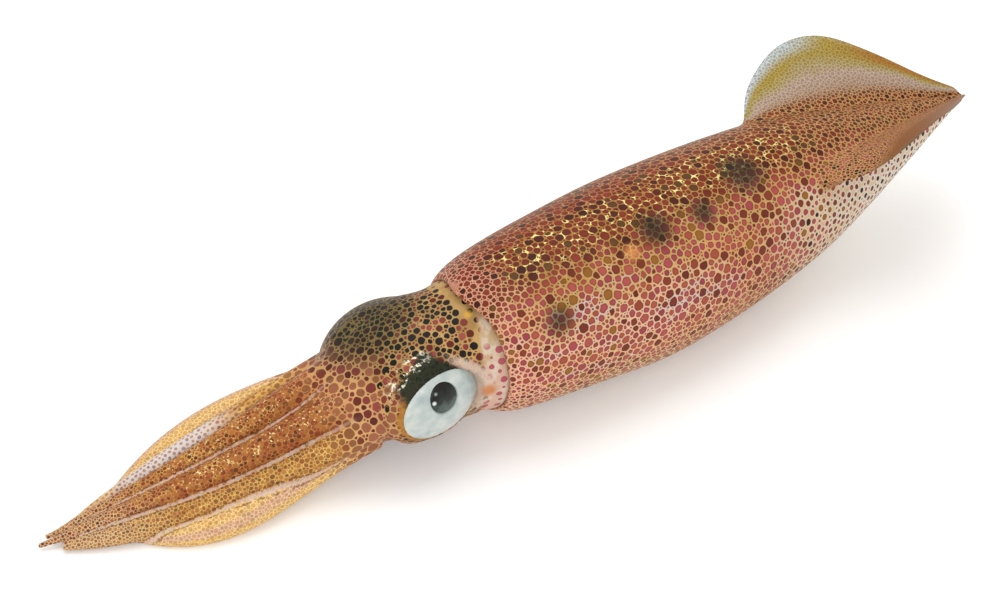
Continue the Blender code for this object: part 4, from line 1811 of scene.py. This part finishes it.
    def build(self) -> bpy.types.Object:
        """Make the head and arms.

        Returns:
            The finished, dressed mesh.
        """
        parts = [self.build_head(), self.build_funnel()]
        parts += [self.build_arm(name, arm) for name, arm in self.arms.items()]
        make_active(parts[0])
        for part in parts:
            part.select_set(True)
        bpy.ops.object.join()
        piece = parts[0]
        piece.name = piece.data.name = "head_and_arms"
        while piece.data.uv_layers:
            piece.data.uv_layers.remove(piece.data.uv_layers[0])
        apply_modifier(piece, "REMESH", mode="VOXEL", voxel_size=self.voxel * MM,
                       use_smooth_shade=True)
        apply_modifier(piece, "SMOOTH", factor=0.5, iterations=4)
        points = self.seat_eyes(read_points(piece))
        points[:, 2] = np.maximum(points[:, 2], 0.0)
        write_points(piece, points)
        pale = triangle_means(piece, self.write_arm_marks(piece, points))
        self.write_eye_marks(piece, points)
        skin, packing = HeadSkin(), SpotPacking(seed=23)
        spots, cells = packing.scatter(
            piece, *skin.spot_sizes(triangle_means(piece, points), pale))
        packing.write(piece, spots, cells, skin.spot_tints(spots, 5))
        LOG.info("head and arm spots: %d", len(spots))
        piece.data.materials.clear()
        piece.data.materials.append(skin.build())
        return piece


@dataclass
class Eye:
    """Eyeball with a recessed pupil, and the dark lens in it."""

    side: Side
    frame: Matrix
    half: tuple[float, float, float]
    pupil: tuple[float, float]
    pupil_half: tuple[float, float] = (2.9, 3.1)
    sides: int = 64

    def surface(self, share: float, turn: float, lift: float = 0.0) -> Vector:
        """Find a point of the eyeball.

        Args:
            share: 0 at the pupil's middle, 1 at its rim, 2 at the equator and 3 at the back.
            turn: radians round the pupil.
            lift: how far it stands out along the eye's axis.

        Returns:
            The point in millimetres, in the body's frame.
        """
        within, out = min(share, 1.0), min(max(share - 1.0, 0.0), 1.0)
        shrink = 1.0 if share <= 2 else 3.0 - share
        x, y = ((middle + small * within * part) * (1 - out) + wide * part * out
                for middle, small, wide, part in zip(
                    self.pupil, self.pupil_half, self.half, (math.cos(turn), math.sin(turn))))
        x, y = x * shrink, y * shrink
        inside = max(0.0, 1 - (x / self.half[0]) ** 2 - (y / self.half[1]) ** 2)
        z = self.half[2] * math.sqrt(inside) * (1 if share <= 2 else -1)
        return self.frame @ Vector((x, y, z + lift))

    def draw(self, name: str, rings: list[tuple[float, float]]) -> bpy.types.Object:
        """Draw a closed piece through rings, each a share and a lift of the surface.

        Args:
            name: what the piece is, before the side in its name.
            rings: the share and the lift of each ring.

        Returns:
            The closed piece.
        """
        turns = spaced(0.0, 2 * math.pi, self.sides + 1)[:-1]
        sections = [[self.surface(share, turn, lift) for turn in turns]
                    for share, lift in rings]
        tube = DrawnTube(f"{name}_{self.side.name.lower()}", sections[0])
        for section in sections[1:]:
            tube.draw(section)
        return tube.finish()

    def build_ball(self) -> bpy.types.Object:
        """Draw the eyeball, from the pupil's floor over its rim to the back.

        Returns:
            The closed piece.
        """
        rings = [(0.15, -0.8), (0.6, -0.8), (0.92, -0.7), (0.98, -0.1), (1.01, 0.03),
                 (1.05, 0.0)]
        rings += [(share, 0.0) for share in spaced(1.1, 1.99, 18)]
        rings += [(share, 0.0) for share in spaced(2.02, 2.92, 14)]
        return self.draw("eyeball", rings)

    def build_lens(self) -> bpy.types.Object:
        """Draw the lens, a shallow dome that fills the pupil.

        Returns:
            The closed piece.
        """
        rings = [(0.1, -0.06), (0.35, -0.07), (0.6, -0.1), (0.8, -0.17), (0.92, -0.28),
                 (0.95, -0.42), (0.85, -0.6), (0.2, -0.6)]
        return self.draw("pupil", rings)

    def build(self) -> list[bpy.types.Object]:
        """Make both pieces.

        Returns:
            The eyeball and the lens.
        """
        ball, lens = self.build_ball(), self.build_lens()
        for piece, finish in ((ball, EyeballFinish()), (lens, LensFinish())):
            apply_modifier(piece, "SUBSURF", levels=1, render_levels=1)
            piece.data.materials.clear()
            piece.data.materials.append(finish.build())
        return [ball, lens]


@dataclass
class Studio:
    """Floor, lights and camera."""

    floor_size: float = 6000.0
    camera_turn: float = -36.0
    camera_height: float = 42.0
    camera_distance: float = 515.0
    camera_target: tuple[float, float, float] = (-32.3, 7.1, 17.0)
    lens: float = 100.0
    # Each softbox: name, place, aim, size and power in watts.
    lights: tuple = (
        ("key", (20.0, 160.0, 640.0), (0.0, 0.0, 10.0), 560.0, 1.8),
        ("fill", (-420.0, -480.0, 420.0), (-30.0, 0.0, 15.0), 500.0, 1.1))

    def build_floor(self) -> None:
        """Lay the floor."""
        deselect_all()
        bpy.ops.mesh.primitive_plane_add(size=self.floor_size * MM, location=(0, 0, 0))
        floor = bpy.context.active_object
        floor.name = "studio_floor"
        bpy.ops.object.mode_set(mode="EDIT")
        bpy.ops.mesh.subdivide(number_cuts=8)
        bpy.ops.object.mode_set(mode="OBJECT")
        floor.data.materials.append(FloorFinish().build())

    def build_lights(self) -> None:
        """Hang the softboxes and set the pale surroundings."""
        for name, place, aim, size, power in self.lights:
            light = bpy.data.lights.new("softbox_" + name, "AREA")
            light.size = size * MM
            light.energy = power
            holder = bpy.data.objects.new("softbox_" + name, light)
            bpy.context.scene.collection.objects.link(holder)
            holder.location = Vector(place) * MM
            holder.rotation_euler = (Vector(place) - Vector(aim)).to_track_quat(
                "Z", "Y").to_euler()
        world = bpy.data.worlds.new("pale_surroundings")
        bpy.context.scene.world = world
        world.use_nodes = True
        back = world.node_tree.nodes["Background"]
        back.inputs["Color"].default_value = srgb("#FBFAF8")
        back.inputs["Strength"].default_value = 0.9

    def build_camera(self) -> None:
        """Set the camera at the viewing angle."""
        turn, height = math.radians(self.camera_turn), math.radians(self.camera_height)
        back = Vector((math.sin(turn) * math.cos(height), -math.cos(turn) * math.cos(height),
                       math.sin(height)))
        camera = bpy.data.cameras.new("camera")
        camera.lens = self.lens
        camera.sensor_width = 36.0
        holder = bpy.data.objects.new("camera", camera)
        bpy.context.scene.collection.objects.link(holder)
        holder.location = (Vector(self.camera_target) + back * self.camera_distance) * MM
        holder.rotation_euler = back.to_track_quat("Z", "Y").to_euler()
        bpy.context.scene.camera = holder
        bpy.context.scene.view_settings.view_transform = "Standard"

    def build(self) -> None:
        """Make the whole studio."""
        self.build_camera()
        self.build_floor()
        self.build_lights()


def place_piece(piece: bpy.types.Object, slot: Slot, *nodes: str) -> None:
    """Tie a finished piece to the frame and report it.

    Args:
        piece: the finished mesh.
        slot: the record's material slot; not used.
        nodes: the CAD nodes that it stands for.
    """
    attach(piece, "root")
    if nodes:
        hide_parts(*nodes)
    LOG.info("%s: %d faces", piece.name, len(piece.data.polygons))


def main() -> None:
    """Build the studio and every piece of the squid in order."""
    logging.basicConfig(level=logging.INFO, format="%(name)s %(message)s")
    Studio().build()
    place_piece(Mantle().build(), Slot.SKIN, "squid_body")
    head = HeadAndArms()
    place_piece(head.build(), Slot.SKIN, "squid_body")
    pupils = {Side.LEFT: (-0.3, -2.5), Side.RIGHT: (-0.2, -2.2)}
    for side in Side:
        eye = Eye(side, head.eye_frame(side), head.eye_half, pupils[side])
        ball, lens = eye.build()
        place_piece(ball, Slot.EYE, f"eye_{side.name.lower()}")
        place_piece(lens, Slot.EYE)
    deselect_all()


if __name__ == "__main__":
    main()
